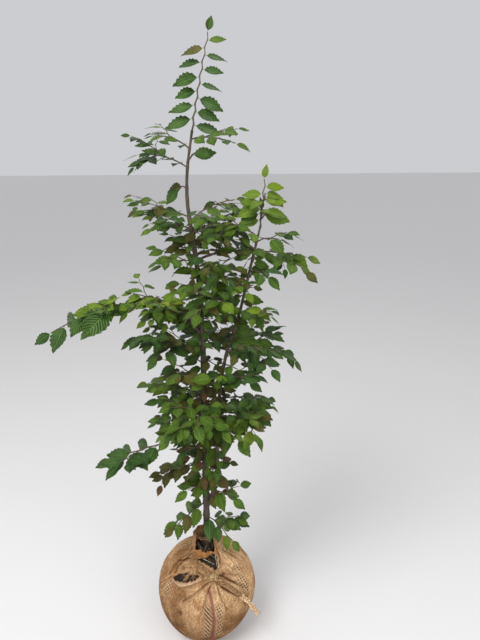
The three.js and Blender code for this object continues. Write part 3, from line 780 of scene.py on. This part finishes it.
def leafMesh(fold, hang, curl, twist):
    # one leaf, 1 long along +X, its upper face up
    bm = bmesh.new()
    steps = leafShape["steps"]
    bmesh.ops.create_grid(bm, x_segments=steps, y_segments=4, size=1, calc_uvs=False)
    layer = bm.loops.layers.uv.new("leaf")
    flat = {}
    for vertex in bm.verts:
        share = (vertex.co.x + 1) / 2
        side = vertex.co.y
        column = round(share * steps)
        flat[vertex.index] = (share, (side + 1) / 2)
        width = lookUp(leafShape["outline"], share)
        out = abs(side)
        if out > 0.9 and 0 < column < steps:
            width += leafShape["teeth"] * (1 if column % 2 else -0.4)
        along = share + leafShape["slant"] * out * width * (2.2 - 2 * share)
        y = side * width
        lift = fold * abs(y) - curl * 4 * y * y - hang * along ** 2
        lift += leafShape["pleat"] * (1 if column % 2 else -1) * out
        roll = twist * along
        reach = leafShape["stalk"] + (1 - leafShape["stalk"]) * along
        across = y * cos(roll) - lift * 0.2 * sin(roll)
        vertex.co = Vector((reach, across, lift + y * sin(roll)))
    for face in bm.faces:
        for loop in face.loops:
            loop[layer].uv = flat[loop.vert.index]
    middle = Matrix.Translation((leafShape["stalk"] / 2 + 0.01, 0, 0))
    stalk = bmesh.ops.create_cone(
        bm, segments=3, radius1=0.013, radius2=0.009, depth=leafShape["stalk"] + 0.05,
        matrix=middle @ Matrix.Rotation(pi / 2, 4, "Y"),
    )
    for face in {f for v in stalk["verts"] for f in v.link_faces}:
        for loop in face.loops:
            loop[layer].uv = (0.5, 0.5)
    bmesh.ops.remove_doubles(bm, verts=bm.verts, dist=0.0005)
    return meshFrom(bm)


leafKinds = [leafMesh(*bend) for bend in leafBends]
chooseKind = randomFrom(77)
byTone = {tone: bmesh.new() for tone in leafTones}
counts = {tone: 0 for tone in leafTones}
for leaf in leaves:
    across = leaf["face"].cross(leaf["along"]).normalized()
    normal = leaf["along"].cross(across).normalized()
    place = Matrix((leaf["along"], across, normal)).transposed().to_4x4()
    place = Matrix.Translation(leaf["at"]) @ place @ Matrix.Scale(leaf["length"], 4)
    single = leafKinds[int(chooseKind() * len(leafKinds))].copy()
    single.transform(place)
    byTone[leaf["tone"]].from_mesh(single)
    bpy.data.meshes.remove(single)
    counts[leaf["tone"]] += 1
for tone, bm in byTone.items():
    addPiece(tone + "_leaves", meshFrom(bm), leafFinish(tone), "foliage")
print("leaves done:", counts)


def twigLine(twig):
    # a little thicker at each joint
    count = twig["joints"]
    line = []
    for i, point in enumerate(twig["points"]):
        radius = twig["foot"] + (twig["tip"] - twig["foot"]) * i / count
        line.append((point, radius * 1.12))
        if i < count:
            line.append((point.lerp(twig["points"][i + 1], 0.3), radius * 0.92))
    return line


addPiece("twigs", tubes([twigLine(twig) for twig in twigs]), barkTwig, "foliage", shootNodes)
print("twigs done")

barkRelief = {"step": 3.0, "streaks": 0.35, "lumps": 0.6, "nodes": 0.18, "nodeReach": 7, "sides": 8}


def limbMesh(name, limb):
    length = lengthOf(limb["at"])
    steps = int(length / barkRelief["step"])
    swellings = [mass["twig"]["points"][0] for mass in masses if mass["on"] == name]
    line = []
    for i in range(steps + 1):
        point = limb["at"](i / steps)
        radius = limb["radius"](i / steps, point)
        near = min([(point - place).length for place in swellings] or [99])
        swelling = barkRelief["nodes"] * exp(-(near / barkRelief["nodeReach"]) ** 2)
        line.append((point, radius * (1 + swelling)))
    mesh = tubes([line], barkRelief["sides"])
    for vertex in mesh.vertices:
        p = vertex.co
        streak = noise.noise(Vector((p.x * 0.55, p.y * 0.55, p.z * 0.03)))
        lump = noise.noise(Vector((p.x * 0.12, p.y * 0.12, p.z * 0.05)) + Vector((9, 4, 2)))
        scale = min(1, limb["radius"](0.5, p) / 6)
        relief = barkRelief["streaks"] * streak + barkRelief["lumps"] * lump
        vertex.co = p + vertex.normal * scale * relief
    return mesh


for name, limb in limbs.items():
    addPiece(name + "_bark", limbMesh(name, limb), barkStem, "bark", [name])
print("bark done")

# The ball's profile is rows of (height, radius).
ball = {
    "profile": [
        (0, 84), (14, 104), (45, 129), (90, 151), (135, 160), (185, 156), (225, 140), (255, 114),
        (274, 84), (286, 60), (300, 46), (322, 40), (348, 37), (370, 34),
    ],
    "lobes": 0.012, "slimHeading": 335, "slimShare": 0.06, "slimBelow": 160,
    "soilTop": 286, "soilInset": 9, "cloth": 1.6, "top": 363, "cutAbove": 230, "rimRounds": 4,
    "rings": 170, "sides": 260, "crowd": 0.45, "clothRadius": 0.15,
}
collar = {"pleats": 8, "depth": 0.10, "ragged": 2.0, "start": 280, "full": 315}
knot = {
    "at": Vector((28, -92, 272)), "half": Vector((15, 11, 9.5)),
    "creases": 9, "creased": 0.20, "swirl": 0.10, "rough": 0.08,
}
twistLeft = [(22, -90, 276), (4, -78, 286), (-20, -62, 293), (-44, -42, 297)]
twistRight = [
    (36, -94, 270), (66, -103, 252), (92, -106, 232),
    (114, -101, 206), (142, -98, 172), (168, -104, 134),
]
# Folds run out from the knot; between two heights the cloth's slight belly turns to a rumple.
folds = {
    "count": 13, "height": 3.6, "reach": 62, "shade": 0.35, "lowest": -6.0,
    "belly": 0.8, "rumple": 3.0, "rumpleFrom": 170, "rumpleFull": 260,
}
# Painted shade: how much darker the cloth is low down, on its left side and on its left shoulder.
paintedShade = {"low": 0.85, "side": 0.50, "shoulder": 0.30}
# Openings in the cloth, as outlines of (heading, height).
openings = {
    "front": [
        (226, 400), (220, 345), (216, 328), (224, 320), (240, 320),
        (278, 317), (312, 314), (322, 330), (326, 345), (330, 400),
    ],
    "gap": [
        (239, 294), (255, 299), (278, 304), (297, 306), (316, 306), (318, 294),
        (304, 280), (296, 278), (288, 282), (276, 286), (257, 292),
    ],
    "tear": [
        (215, 245), (227, 249), (238, 254), (246, 260), (261, 270), (251, 273),
        (243, 269), (236, 272), (229, 266), (221, 261),
    ],
}
# Where the seam lies: its heading at each height.
seam = {
    "rows": [(0, 280), (94, 279), (161, 282), (220, 281), (236, 280), (252, 278), (262, 284)],
    "low": 24, "high": 254, "stitch": 5.5, "half": 2.6, "thread": 1.0, "pink": 5.5,
    "dent": 3.2, "dentWidth": 4.5, "ridge": 2.0, "ridgeAt": 10, "ridgeWidth": 6, "room": 70,
}
# Folds pressed into the cloth or standing out of it, along lines of (heading, height), by the
# columns that are named below.
creases = [
    (3.5, 3.6, -0.5, [(215, 242), (228, 245), (240, 251), (250, 259), (264, 267)]),
    (4, 3.2, 0.1, [(209, 262), (214, 276), (226, 284), (240, 281), (253, 279)]),
    (3, -3.0, 0.45, [(285, 266), (268, 264), (250, 253), (232, 236)]),
    (3, -3.2, 0.5, [(285, 264), (271, 256), (257, 238), (244, 216)]),
    (3, -2.6, 0.4, [(286, 262), (277, 247), (272, 226), (268, 190)]),
    (3.5, -2.6, 0.45, [(290, 260), (291, 244), (293, 222), (298, 188)]),
    (3, -3.0, 0.5, [(270, 270), (262, 273), (252, 276)]),
    (3.5, -4.5, 0.75, [(197, 270), (210, 284), (228, 289), (244, 287)]),
    (4, -4.5, 0.65, [(204, 246), (198, 262), (192, 280), (188, 304)]),
    (3.5, -4.0, 0.65, [(212, 258), (206, 270), (202, 288), (206, 310)]),
    (5, 4.4, 0.0, [(188, 258), (183, 278), (178, 305)]),
    (4, 3.4, 0.15, [(222, 285), (214, 296), (212, 318)]),
    (3.5, -5.5, 1.0, [(291, 262), (299, 243), (308, 226), (318, 202), (328, 178)]),
    (4, -4.0, 0.8, [(302, 266), (313, 251), (322, 232), (331, 206)]),
    (3.5, 3.0, 0.35, [(309, 258), (318, 242), (326, 220), (332, 192)]),
    (5, 5.0, -0.2, [(296, 270), (299, 279), (311, 281), (323, 275), (326, 264)]),
    (3, -3.0, 0.4, [(318, 262), (325, 252), (333, 246)]),
    (4, -5.0, 0.85, [(334, 350), (338, 310), (328, 288), (314, 281)]),
    (5, 4.0, -0.1, [(350, 350), (354, 310), (344, 284), (336, 268)]),
    (4.5, -4.0, 0.5, [(5, 350), (8, 312), (2, 288), (354, 266)]),
    (5, 3.0, 0, [(208, 336), (222, 314), (245, 309), (275, 308), (300, 309), (318, 312)], 1.0),
]
# The dark column is painted shade along the fold; below zero it is a painted highlight on a
# standing fold.
creaseColumns = ("width", "lift", "dark", "line", "warm")
# Marks, as (heading, height, width) and, for stains, how dark they are and how far they sink.
stainDent = 4
stains = [
    (308, 267, 6.5, 1.0), (221, 271, 5, 0.9), (233, 277, 4, 0.8),
    (214, 199, 5.5, 0.9), (242, 179, 7, 0.9), (327, 262, 4, 0.8),
    (333, 257, 4, 0.7), (232, 150, 6, 0.5), (236, 120, 9, 0.4),
]
openWeave = [(328, 236, 19), (331, 208, 20), (217, 226, 17), (213, 205, 13), (338, 256, 12)]
slitPatch = {"from": 104, "to": 226, "left": (-18, 13), "right": (18, 11)}


def ballRadius(turn, height):
    lobes = cos(2 * turn + 0.6) + 0.6 * cos(3 * turn - 1.2)
    low = min(max(1 - height / ball["slimBelow"], 0), 1)
    slim = ball["slimShare"] * low * max(0, cos(turn - radians(ball["slimHeading"])))
    return lookUp(ballRows, height) * (1 + ball["lobes"] * lobes - slim)


ballCurve = splineThrough([Vector((width, 0, height)) for height, width in ball["profile"]])
ballRows = [(p.z, p.x) for p in (ballCurve(i / 300) for i in range(301))]


def turnOf(point):
    # from the back, round by the front and to the back again
    turn = atan2(point.y, point.x)
    return turn - 2 * pi if turn > pi / 2 else turn


def ballPoint(turn, height, proud=0.0):
    radius = ballRadius(turn, height) + proud
    return Vector((radius * cos(turn), radius * sin(turn), height))


def onBall(heading, height, proud=0.0):
    return ballPoint(radians(heading), height, proud)


def distanceTo(point, line):
    nearest = 1e9
    for a, b in zip(line, line[1:]):
        along = b - a
        t = min(max((point - a).dot(along) / along.length_squared, 0), 1)
        nearest = min(nearest, (a + along * t - point).length)
    return nearest


pressed = []
for row in creases:
    fold = {"warm": 0, **dict(zip(creaseColumns, row))}
    fold["points"] = [onBall(*place) for place in fold["line"]]
    fold["middle"] = sum(fold["points"], Vector()) / len(fold["points"])
    fold["room"] = max((p - fold["middle"]).length for p in fold["points"]) + 4 * fold["width"]
    pressed.append(fold)
knotTurn = turnOf(knot["at"])
twistLines = [[Vector(p) for p in places] for places in (twistLeft, twistRight)]


def bell(value, power=2):
    return exp(-value ** power)


def knotDistance(turn, height, radius):
    # over the cloth, and the direction of it
    across = (turn - knotTurn) * radius
    down = (height - knot["at"].z) * (1.0 if height > 230 else 1.15)
    return hypot(across, down), atan2(down, across)


def clothAt(turn, height):
    # how far the cloth stands out there, and its marks
    radius, here = ballRadius(turn, height), ballPoint(turn, height)
    marks = dict.fromkeys(("creased", "warm", "open", "slits", "pink", "stained", "painted_shade"), 0.0)
    distance, way = knotDistance(turn, height, radius)
    wander = 0.8 * noise.noise(Vector((cos(way) * 2, sin(way) * 2, distance * 0.02)))
    pleat = cos(folds["count"] * way + 3 * wander)
    near = exp(-distance / folds["reach"]) * ramp(distance, 6, 26) * ramp(height, 330, 300)
    lift = folds["height"] * (pleat * 0.6 + 0.2) * near
    # painted shade in the troughs of the folds round the knot
    marks["creased"] += folds["shade"] * max(0, -pleat) * near
    rumple = noise.noise(here * 0.028) + 0.5 * noise.noise(here * 0.065 + Vector((5, 5, 5)))
    share = folds["rumple"] * ramp(height, folds["rumpleFrom"], folds["rumpleFull"])
    lift += rumple * (folds["belly"] + share)
    for fold in pressed:
        if (here - fold["middle"]).length > fold["room"]:
            continue
        gap = distanceTo(here, fold["points"]) / fold["width"]
        lift += fold["lift"] * (bell(gap) - 0.5 * bell((gap - 2) / 1.2))
        # painted shade along the folds, and a painted highlight where their dark column is below
        # zero
        marks["creased"] += fold["dark"] * bell(gap / 0.9)
        marks["warm"] += fold["warm"] * bell(gap / 2.2)
    for heading, level, width, share in stains:
        spot = bell((here - onBall(heading, level)).length / width)
        marks["stained"] += share * spot
        lift -= stainDent * share * spot
    for heading, level, width in openWeave:
        marks["open"] += bell((here - onBall(heading, level)).length / width, 4)
    across = (turn + 2 * pi - radians(lookUp(seam["rows"], height))) * radius
    if abs(across) < seam["room"]:
        low, high = slitPatch["from"], slitPatch["to"]
        along = ramp(height, low - 20, low) * ramp(height, high, high - 20)
        for side, mark in (("left", "slits"), ("right", "open")):
            middle, width = slitPatch[side]
            marks[mark] += along * bell((across - middle) / width, 4)
        seamed = ramp(height, seam["high"] + 6, seam["high"] - 12)
        lift -= seam["dent"] * bell(across / seam["dentWidth"]) * seamed
        lift += seam["ridge"] * bell((across - seam["ridgeAt"]) / seam["ridgeWidth"]) * seamed
        marks["pink"] += bell(across / seam["pink"]) * seamed
        # painted shade in the seam's dent
        marks["creased"] += 0.4 * bell((across + 3) / 3) * seamed
    heading = degrees(turn) + 360
    # painted shade: darker low down, on the left side and on the left shoulder
    low = paintedShade["low"] * ramp(height, 215, 100)
    side = paintedShade["side"] * ramp(heading, 262, 240) * ramp(height, 262, 236)
    shoulder = paintedShade["shoulder"] * ramp(heading, 268, 250) * ramp(height, 246, 262)
    shoulder *= ramp(height, 318, 300)
    marks["painted_shade"] = 1 - (1 - low) * (1 - side) * (1 - shoulder)
    gather = ramp(height, collar["start"], collar["full"])
    wavy = cos(collar["pleats"] * turn + 0.8 * noise.noise(here * 0.05))
    lift += gather * radius * collar["depth"] * wavy
    lift += gather * collar["ragged"] * noise.noise(here * 0.08)
    if lift > 0 and height < collar["full"]:
        lift *= ramp(min(distanceTo(here, line) for line in twistLines), 14, 34)
    return max(lift, folds["lowest"]), marks


def isOpen(outline, heading, height):
    crossed = False
    for (a, low), (b, high) in zip(outline, outline[1:] + outline[:1]):
        if (low > height) != (high > height):
            edge = a + (b - a) * (height - low) / (high - low)
            crossed = crossed != (heading < edge)
    return crossed


def spunShape(rows, sides):
    bm = bmesh.new()
    chain = [bm.verts.new((width, 0, height)) for height, width in rows]
    edges = [bm.edges.new(pair) for pair in zip(chain, chain[1:])]
    bmesh.ops.spin(
        bm, geom=chain + edges, cent=(0, 0, 0), axis=(0, 0, 1), dvec=(0, 0, 0),
        angle=2 * pi, steps=sides, use_merge=True,
    )
    bmesh.ops.remove_doubles(bm, verts=bm.verts, dist=0.01)
    return bm


def evenRims(bm):
    # takes the steps out of edges that were cut along faces
    rims = [v for v in bm.verts if v.is_boundary and v.co.z > ball["cutAbove"]]
    for _ in range(ball["rimRounds"]):
        goals = []
        for v in rims:
            ends = [edge.other_vert(v).co for edge in v.link_edges if edge.is_boundary]
            goals.append(sum(ends, Vector()) / len(ends))
        for v, goal in zip(rims, goals):
            v.co = v.co.lerp(goal, 0.5)


def wrapMesh():
    rows = [(0.0, 0.0), (0.0, 30.0), (0.0, 60.0)]
    walked = [0.0]
    points = [ballCurve(i / 600) for i in range(601)]
    for p, q in zip(points, points[1:]):
        walked.append(walked[-1] + (q - p).length)
    for i in range(ball["rings"] + 1):
        goal = walked[-1] * i / ball["rings"]
        k = min(range(len(walked)), key=lambda j: abs(walked[j] - goal))
        rows.append((points[k].z, points[k].x))
    bm = spunShape(rows, ball["sides"])
    layer = bm.loops.layers.uv.new("cloth")
    layers = {}
    for mark in clothAt(0, 100)[1]:
        layers[mark] = bm.verts.layers.float.new(mark)
    spots = {}
    for vertex in bm.verts:
        turn, height, flat = turnOf(vertex.co), vertex.co.z, vertex.co.xy.length
        turn -= ball["crowd"] * sin(turn + pi / 2)
        spots[vertex.index] = (turn, height, flat)
        if flat < 80 and height < 1:
            continue
        lift, marks = clothAt(turn, height)
        vertex.co = ballPoint(turn, height, lift * ramp(height, 0, 30))
        for mark, value in marks.items():
            vertex[layers[mark]] = min(max(value, -1), 1)
    gone = []
    for face in bm.faces:
        centre = face.calc_center_median()
        if centre.z < ball["cutAbove"]:
            continue
        heading = degrees(turnOf(centre)) % 360 + 4 * noise.noise(centre * 0.15)
        height = centre.z + 2.0 * noise.noise(centre * 0.2 + Vector((7, 7, 7)))
        ragged = ball["top"] + 6 * noise.noise(centre * 0.1) + 2 * noise.noise(centre * 0.5)
        opened = [isOpen(outline, heading, height) for outline in openings.values()]
        if centre.z > ragged or any(opened):
            gone.append(face)
    bmesh.ops.delete(bm, geom=gone, context="FACES")
    evenRims(bm)
    for face in bm.faces:
        turns = [spots[loop.vert.index][0] for loop in face.loops]
        wraps = max(turns) - min(turns) > pi
        for loop, turn in zip(face.loops, turns):
            _, height, flat = spots[loop.vert.index]
            turn += 2 * pi if wraps and turn < -pi else 0
            loop[layer].uv = (turn * ball["clothRadius"], (height if height > 1 else -flat) * 0.001)
    bmesh.ops.recalc_face_normals(bm, faces=bm.faces)
    return meshFrom(bm)


cloth = addPiece("hessian_cloth", wrapMesh(), hessian, "hessian", ["hessian_wrap"])
thick = cloth.modifiers.new("thickness", "SOLIDIFY")
thick.thickness = ball["cloth"] / 1000
thick.offset = -1


def soilMesh():
    inset, top = ball["soilInset"], ball["soilTop"]
    rows = [(inset + 0.5, 0.0), (inset + 0.5, 40.0)]
    rows += [(max(h, inset + 0.5), w - inset) for h, w in ballRows if 3 < h < top - 1][::4]
    rows += [(top, 40.0), (top, 20.0), (top + 1, 0.0)]
    bm = spunShape(rows, 120)
    for vertex in bm.verts:
        turn, height, flat = turnOf(vertex.co), vertex.co.z, vertex.co.xy.length
        if flat < 45:
            vertex.co.z += 3 * noise.noise(vertex.co * 0.08) if height > 100 else 0
            continue
        vertex.co = ballPoint(turn, height, 1.5 * noise.noise(vertex.co * 0.09) - 1.5 - inset)
    bmesh.ops.recalc_face_normals(bm, faces=bm.faces)
    return meshFrom(bm)


addPiece("soil", soilMesh(), moistSoil, "soil", ["soil_ball"])
print("ball done")

# Folded strips of cloth wound round each other: their shares of the corner's own radius.
winding = {
    "strips": 5, "thick": 0.34, "orbit": 0.62, "waves": 0.12, "crimp": 0.10, "pitch": 80,
    "step": 2.5,
}
# Each corner's radius and what is left of it at its end, and from where to where it goes.
windings = {"left": (8, 0.5, 0, 1), "right": (9.5, 0.45, 0, 0.60), "tail": (11, 0.55, 0.59, 1)}
# Loose ends at the tail: how many, how far back they start, how wide, and their shortest and
# spare length.
tailEnds = {"count": 46, "last": 0.99, "back": 0.28, "wide": 6, "shortest": 8, "spare": 9}


def frameAlong(at, t):
    along = alongOf(at, t)
    across = along.cross(up).normalized()
    return along, across, across.cross(along).normalized()


def twisted(places, radius, tip, low, high):
    at = splineThrough([Vector(p) for p in places])
    length = lengthOf(at)
    steps = int(length * (high - low) / winding["step"])
    lines = []
    for k in range(winding["strips"]):
        line = []
        for i in range(steps + 1):
            t = low + (high - low) * i / steps
            along, across, over = frameAlong(at, t)
            turn = 2 * pi * (k / winding["strips"] + t * length / winding["pitch"])
            width = radius * (1 - (1 - tip) * t ** 1.5)
            width *= 1 + winding["waves"] * sin(9 * t + 2 * k)
            orbit = winding["orbit"] * width
            point = at(t) + across * orbit * cos(turn) + over * orbit * sin(turn)
            crimp = 1 + winding["crimp"] * noise.noise(point * 0.25)
            line.append((point, winding["thick"] * width * crimp))
        lines.append(line)
    return lines, at


leftLines, _ = twisted(twistLeft, *windings["left"])
rightLines, rightAt = twisted(twistRight, *windings["right"])
tailLines, _ = twisted(twistRight, *windings["tail"])
fibreDraw = randomFrom(5)
for _ in range(tailEnds["count"]):
    t = tailEnds["last"] - tailEnds["back"] * fibreDraw() ** 2
    along, across, over = frameAlong(rightAt, t)
    start = rightAt(t) + across * tailEnds["wide"] * (fibreDraw() - 0.5)
    start += over * tailEnds["wide"] * (fibreDraw() - 0.5)
    way = along + across * 2.4 * (fibreDraw() - 0.5) + over * 1.6 * (fibreDraw() - 0.5)
    way.normalize()
    reach = tailEnds["shortest"] + tailEnds["spare"] * fibreDraw()
    middle = start + way * reach / 2 + up * 1.5
    tailLines.append([(start, 1.0), (middle, 0.8), (start + way * reach, 0.4)])
# the twisted corners take the jute darkened with painted shade
addPiece("twisted_corner_left", tubes(leftLines, 3), jute, "hessian", ["corner_twist_left"])
addPiece("twisted_corner_right", tubes(rightLines, 3), jute, "hessian", ["corner_twist_right"])
addPiece("frayed_tail", tubes(tailLines, 2), paleJute, "hessian")


def knotMesh():
    bm = bmesh.new()
    bmesh.ops.create_icosphere(bm, subdivisions=5, radius=1)
    for vertex in bm.verts:
        p = vertex.co.copy()
        way = atan2(p.z, p.x)
        creased = knot["creased"] * cos(knot["creases"] * way + 3 * noise.noise(p * 2))
        swirl = knot["swirl"] * cos(4 * way + 7 * p.y)
        scale = 1 + creased * (1 - 0.5 * abs(p.y)) + swirl + knot["rough"] * noise.noise(p * 3)
        vertex.co = Vector([a * b for a, b in zip(p, knot["half"])]) * scale + knot["at"]
    return meshFrom(bm)


addPiece("knot", knotMesh(), knotCloth, "hessian", ["corner_knot"])

line, height, side = [], seam["low"], 1
while height < seam["high"]:
    turn = radians(lookUp(seam["rows"], height)) - 2 * pi
    turn += side * seam["half"] / ballRadius(turn, height)
    line.append((ballPoint(turn, height, clothAt(turn, height)[0] + 0.5), seam["thread"]))
    height += seam["stitch"]
    side = -side
addPiece("seam_stitches", tubes([line], 1), redThread, "hessian")


def strands(draw, count, start, end, sag, radius):
    # loose fibres from about one place to about another, each (heading, height, proud)
    lines = []
    for _ in range(count):
        a = onBall(start[0] + start[3] * (draw() - 0.5), start[1] + 3 * (draw() - 0.5), start[2])
        heading, height = end[0] + end[3] * (draw() - 0.5), end[1] + 5 * (draw() - 0.5)
        b = onBall(heading, height, end[2] + 3 * (draw() - 0.5))
        middle = a.lerp(b, 0.5) - up * sag * draw() + (a + b).normalized() * 3 * (draw() - 0.5)
        size = radius * (0.6 + 0.6 * draw())
        lines.append([(a, size), (middle, size), (b, 0.6 * size)])
    return lines


# Fibres from about one place to about another: how many, both places, sag and thickness.
fibres = {
    "loose_threads": [
        (3, (238, 271, 0, 6), (236, 251, -3, 6), 2, 1.3),
        (3, (249, 272, 0, 8), (248, 261, -3, 8), 1, 1.0),
        (12, (236, 272, 0, 40), (236, 266, -3, 42), 0, 0.6),
        (12, (268, 308, 1, 70), (268, 300, -4, 70), 0, 0.6),
        (14, (270, 361, 1, 90), (270, 366, 2, 110), 0, 0.5),
        (3, (237, 271, 0, 4), (234, 254, -4, 4), 0, 2.0),
    ],
    "straws": [
        (2, (258, 296, -7, 8), (298, 284, -5, 8), 0, 0.7),
        (2, (316, 303, 0, 3), (303, 281, 0, 3), 0, 0.8),
    ],
    "fine_roots": [
        (5, (226, 262, -8, 24), (240, 256, -8, 24), 0, 1.0),
        (8, (270, 300, -12, 60), (290, 288, -10, 70), 0, 1.0),
    ],
}
rootsRoundStem = 44
fringeDraw = randomFrom(31)
fringe = {}
for name, rows in fibres.items():
    fringe[name] = [line for row in rows for line in strands(fringeDraw, *row)]
for _ in range(rootsRoundStem):
    heading = 360 * fringeDraw()
    start = towards(heading) * (16 + 10 * fringeDraw()) + up * (287 + 20 * fringeDraw() ** 2)
    end = towards(heading + 120 * (fringeDraw() - 0.5)) * (22 + 8 * fringeDraw())
    end += up * (290 + 40 * fringeDraw())
    size = 0.8 + 1.2 * fringeDraw()
    middle = start.lerp(end, 0.5) + up * 3
    fringe["fine_roots"].append([(start, size), (middle, size), (end, size / 2)])
# the loose threads take the jute darkened with painted shade
fringeSkins = {
    "loose_threads": (jute, "hessian"), "straws": (strawSkin, "soil"),
    "fine_roots": (rootSkin, "soil"),
}
for name, lines in fringe.items():
    addPiece(name, tubes(lines), *fringeSkins[name])
print("knot and threads done")

# A plain pale floor, a soft studio light and the camera that the plant was seen by, in metres.
studio = {
    "floor": (0.80, 0.79, 0.78, 1), "floorSize": 60, "floorDrop": 0.0005,
    "sky": (0.86, 0.87, 0.90, 1), "skyPower": 0.70,
}
view = {"place": (0.118, -1.26, 1.50), "pitch": 18.3, "roll": -0.43, "lens": 27}
bpy.context.scene.view_settings.view_transform = "Standard"
floorBm = bmesh.new()
bmesh.ops.create_grid(floorBm, x_segments=1, y_segments=1, size=studio["floorSize"])
floor = newObject("floor", meshFrom(floorBm, False))
floor.location.z = -studio["floorDrop"]
floorPaint = bpy.data.materials.new("floor_paint")
floorPaint.use_nodes = True
floorShader = floorPaint.node_tree.nodes["Principled BSDF"]
floorShader.inputs["Base Color"].default_value = studio["floor"]
floorShader.inputs["Roughness"].default_value = 0.9
floor.data.materials.append(floorPaint)
floor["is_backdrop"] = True

world = bpy.data.worlds.new("studio")
world.use_nodes = True
sky = world.node_tree.nodes["Background"].inputs
sky[0].default_value = studio["sky"]
sky[1].default_value = studio["skyPower"]
bpy.context.scene.world = world


def softLight(name, place, aim, size, power):
    data = bpy.data.lights.new(name, "AREA")
    data.size = size
    data.energy = power
    light = newObject(name, data)
    light.location = place
    light.rotation_euler = (Vector(aim) - Vector(place)).to_track_quat("-Z", "Y").to_euler()


softLight("key", (-1.3, -1.6, 3.4), (0, 0, 0.8), 1.6, 84)
softLight("fill", (1.7, -2.2, 1.6), (0, 0, 0.7), 2.0, 30)

cameraData = bpy.data.cameras.new("camera")
cameraData.lens = view["lens"]
cameraData.sensor_width = 36
cameraData.clip_start = 0.05
camera = newObject("camera", cameraData)
tilt = Matrix.Rotation(radians(90 - view["pitch"]), 4, "X")
roll = Matrix.Rotation(radians(view["roll"]), 4, "Z")
camera.matrix_world = Matrix.Translation(view["place"]) @ (tilt @ roll)
bpy.context.scene.camera = camera

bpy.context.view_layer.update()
meshes = [piece.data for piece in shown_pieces() if piece.type == "MESH"]
print("triangles:", sum(len(face.vertices) - 2 for mesh in meshes for face in mesh.polygons))
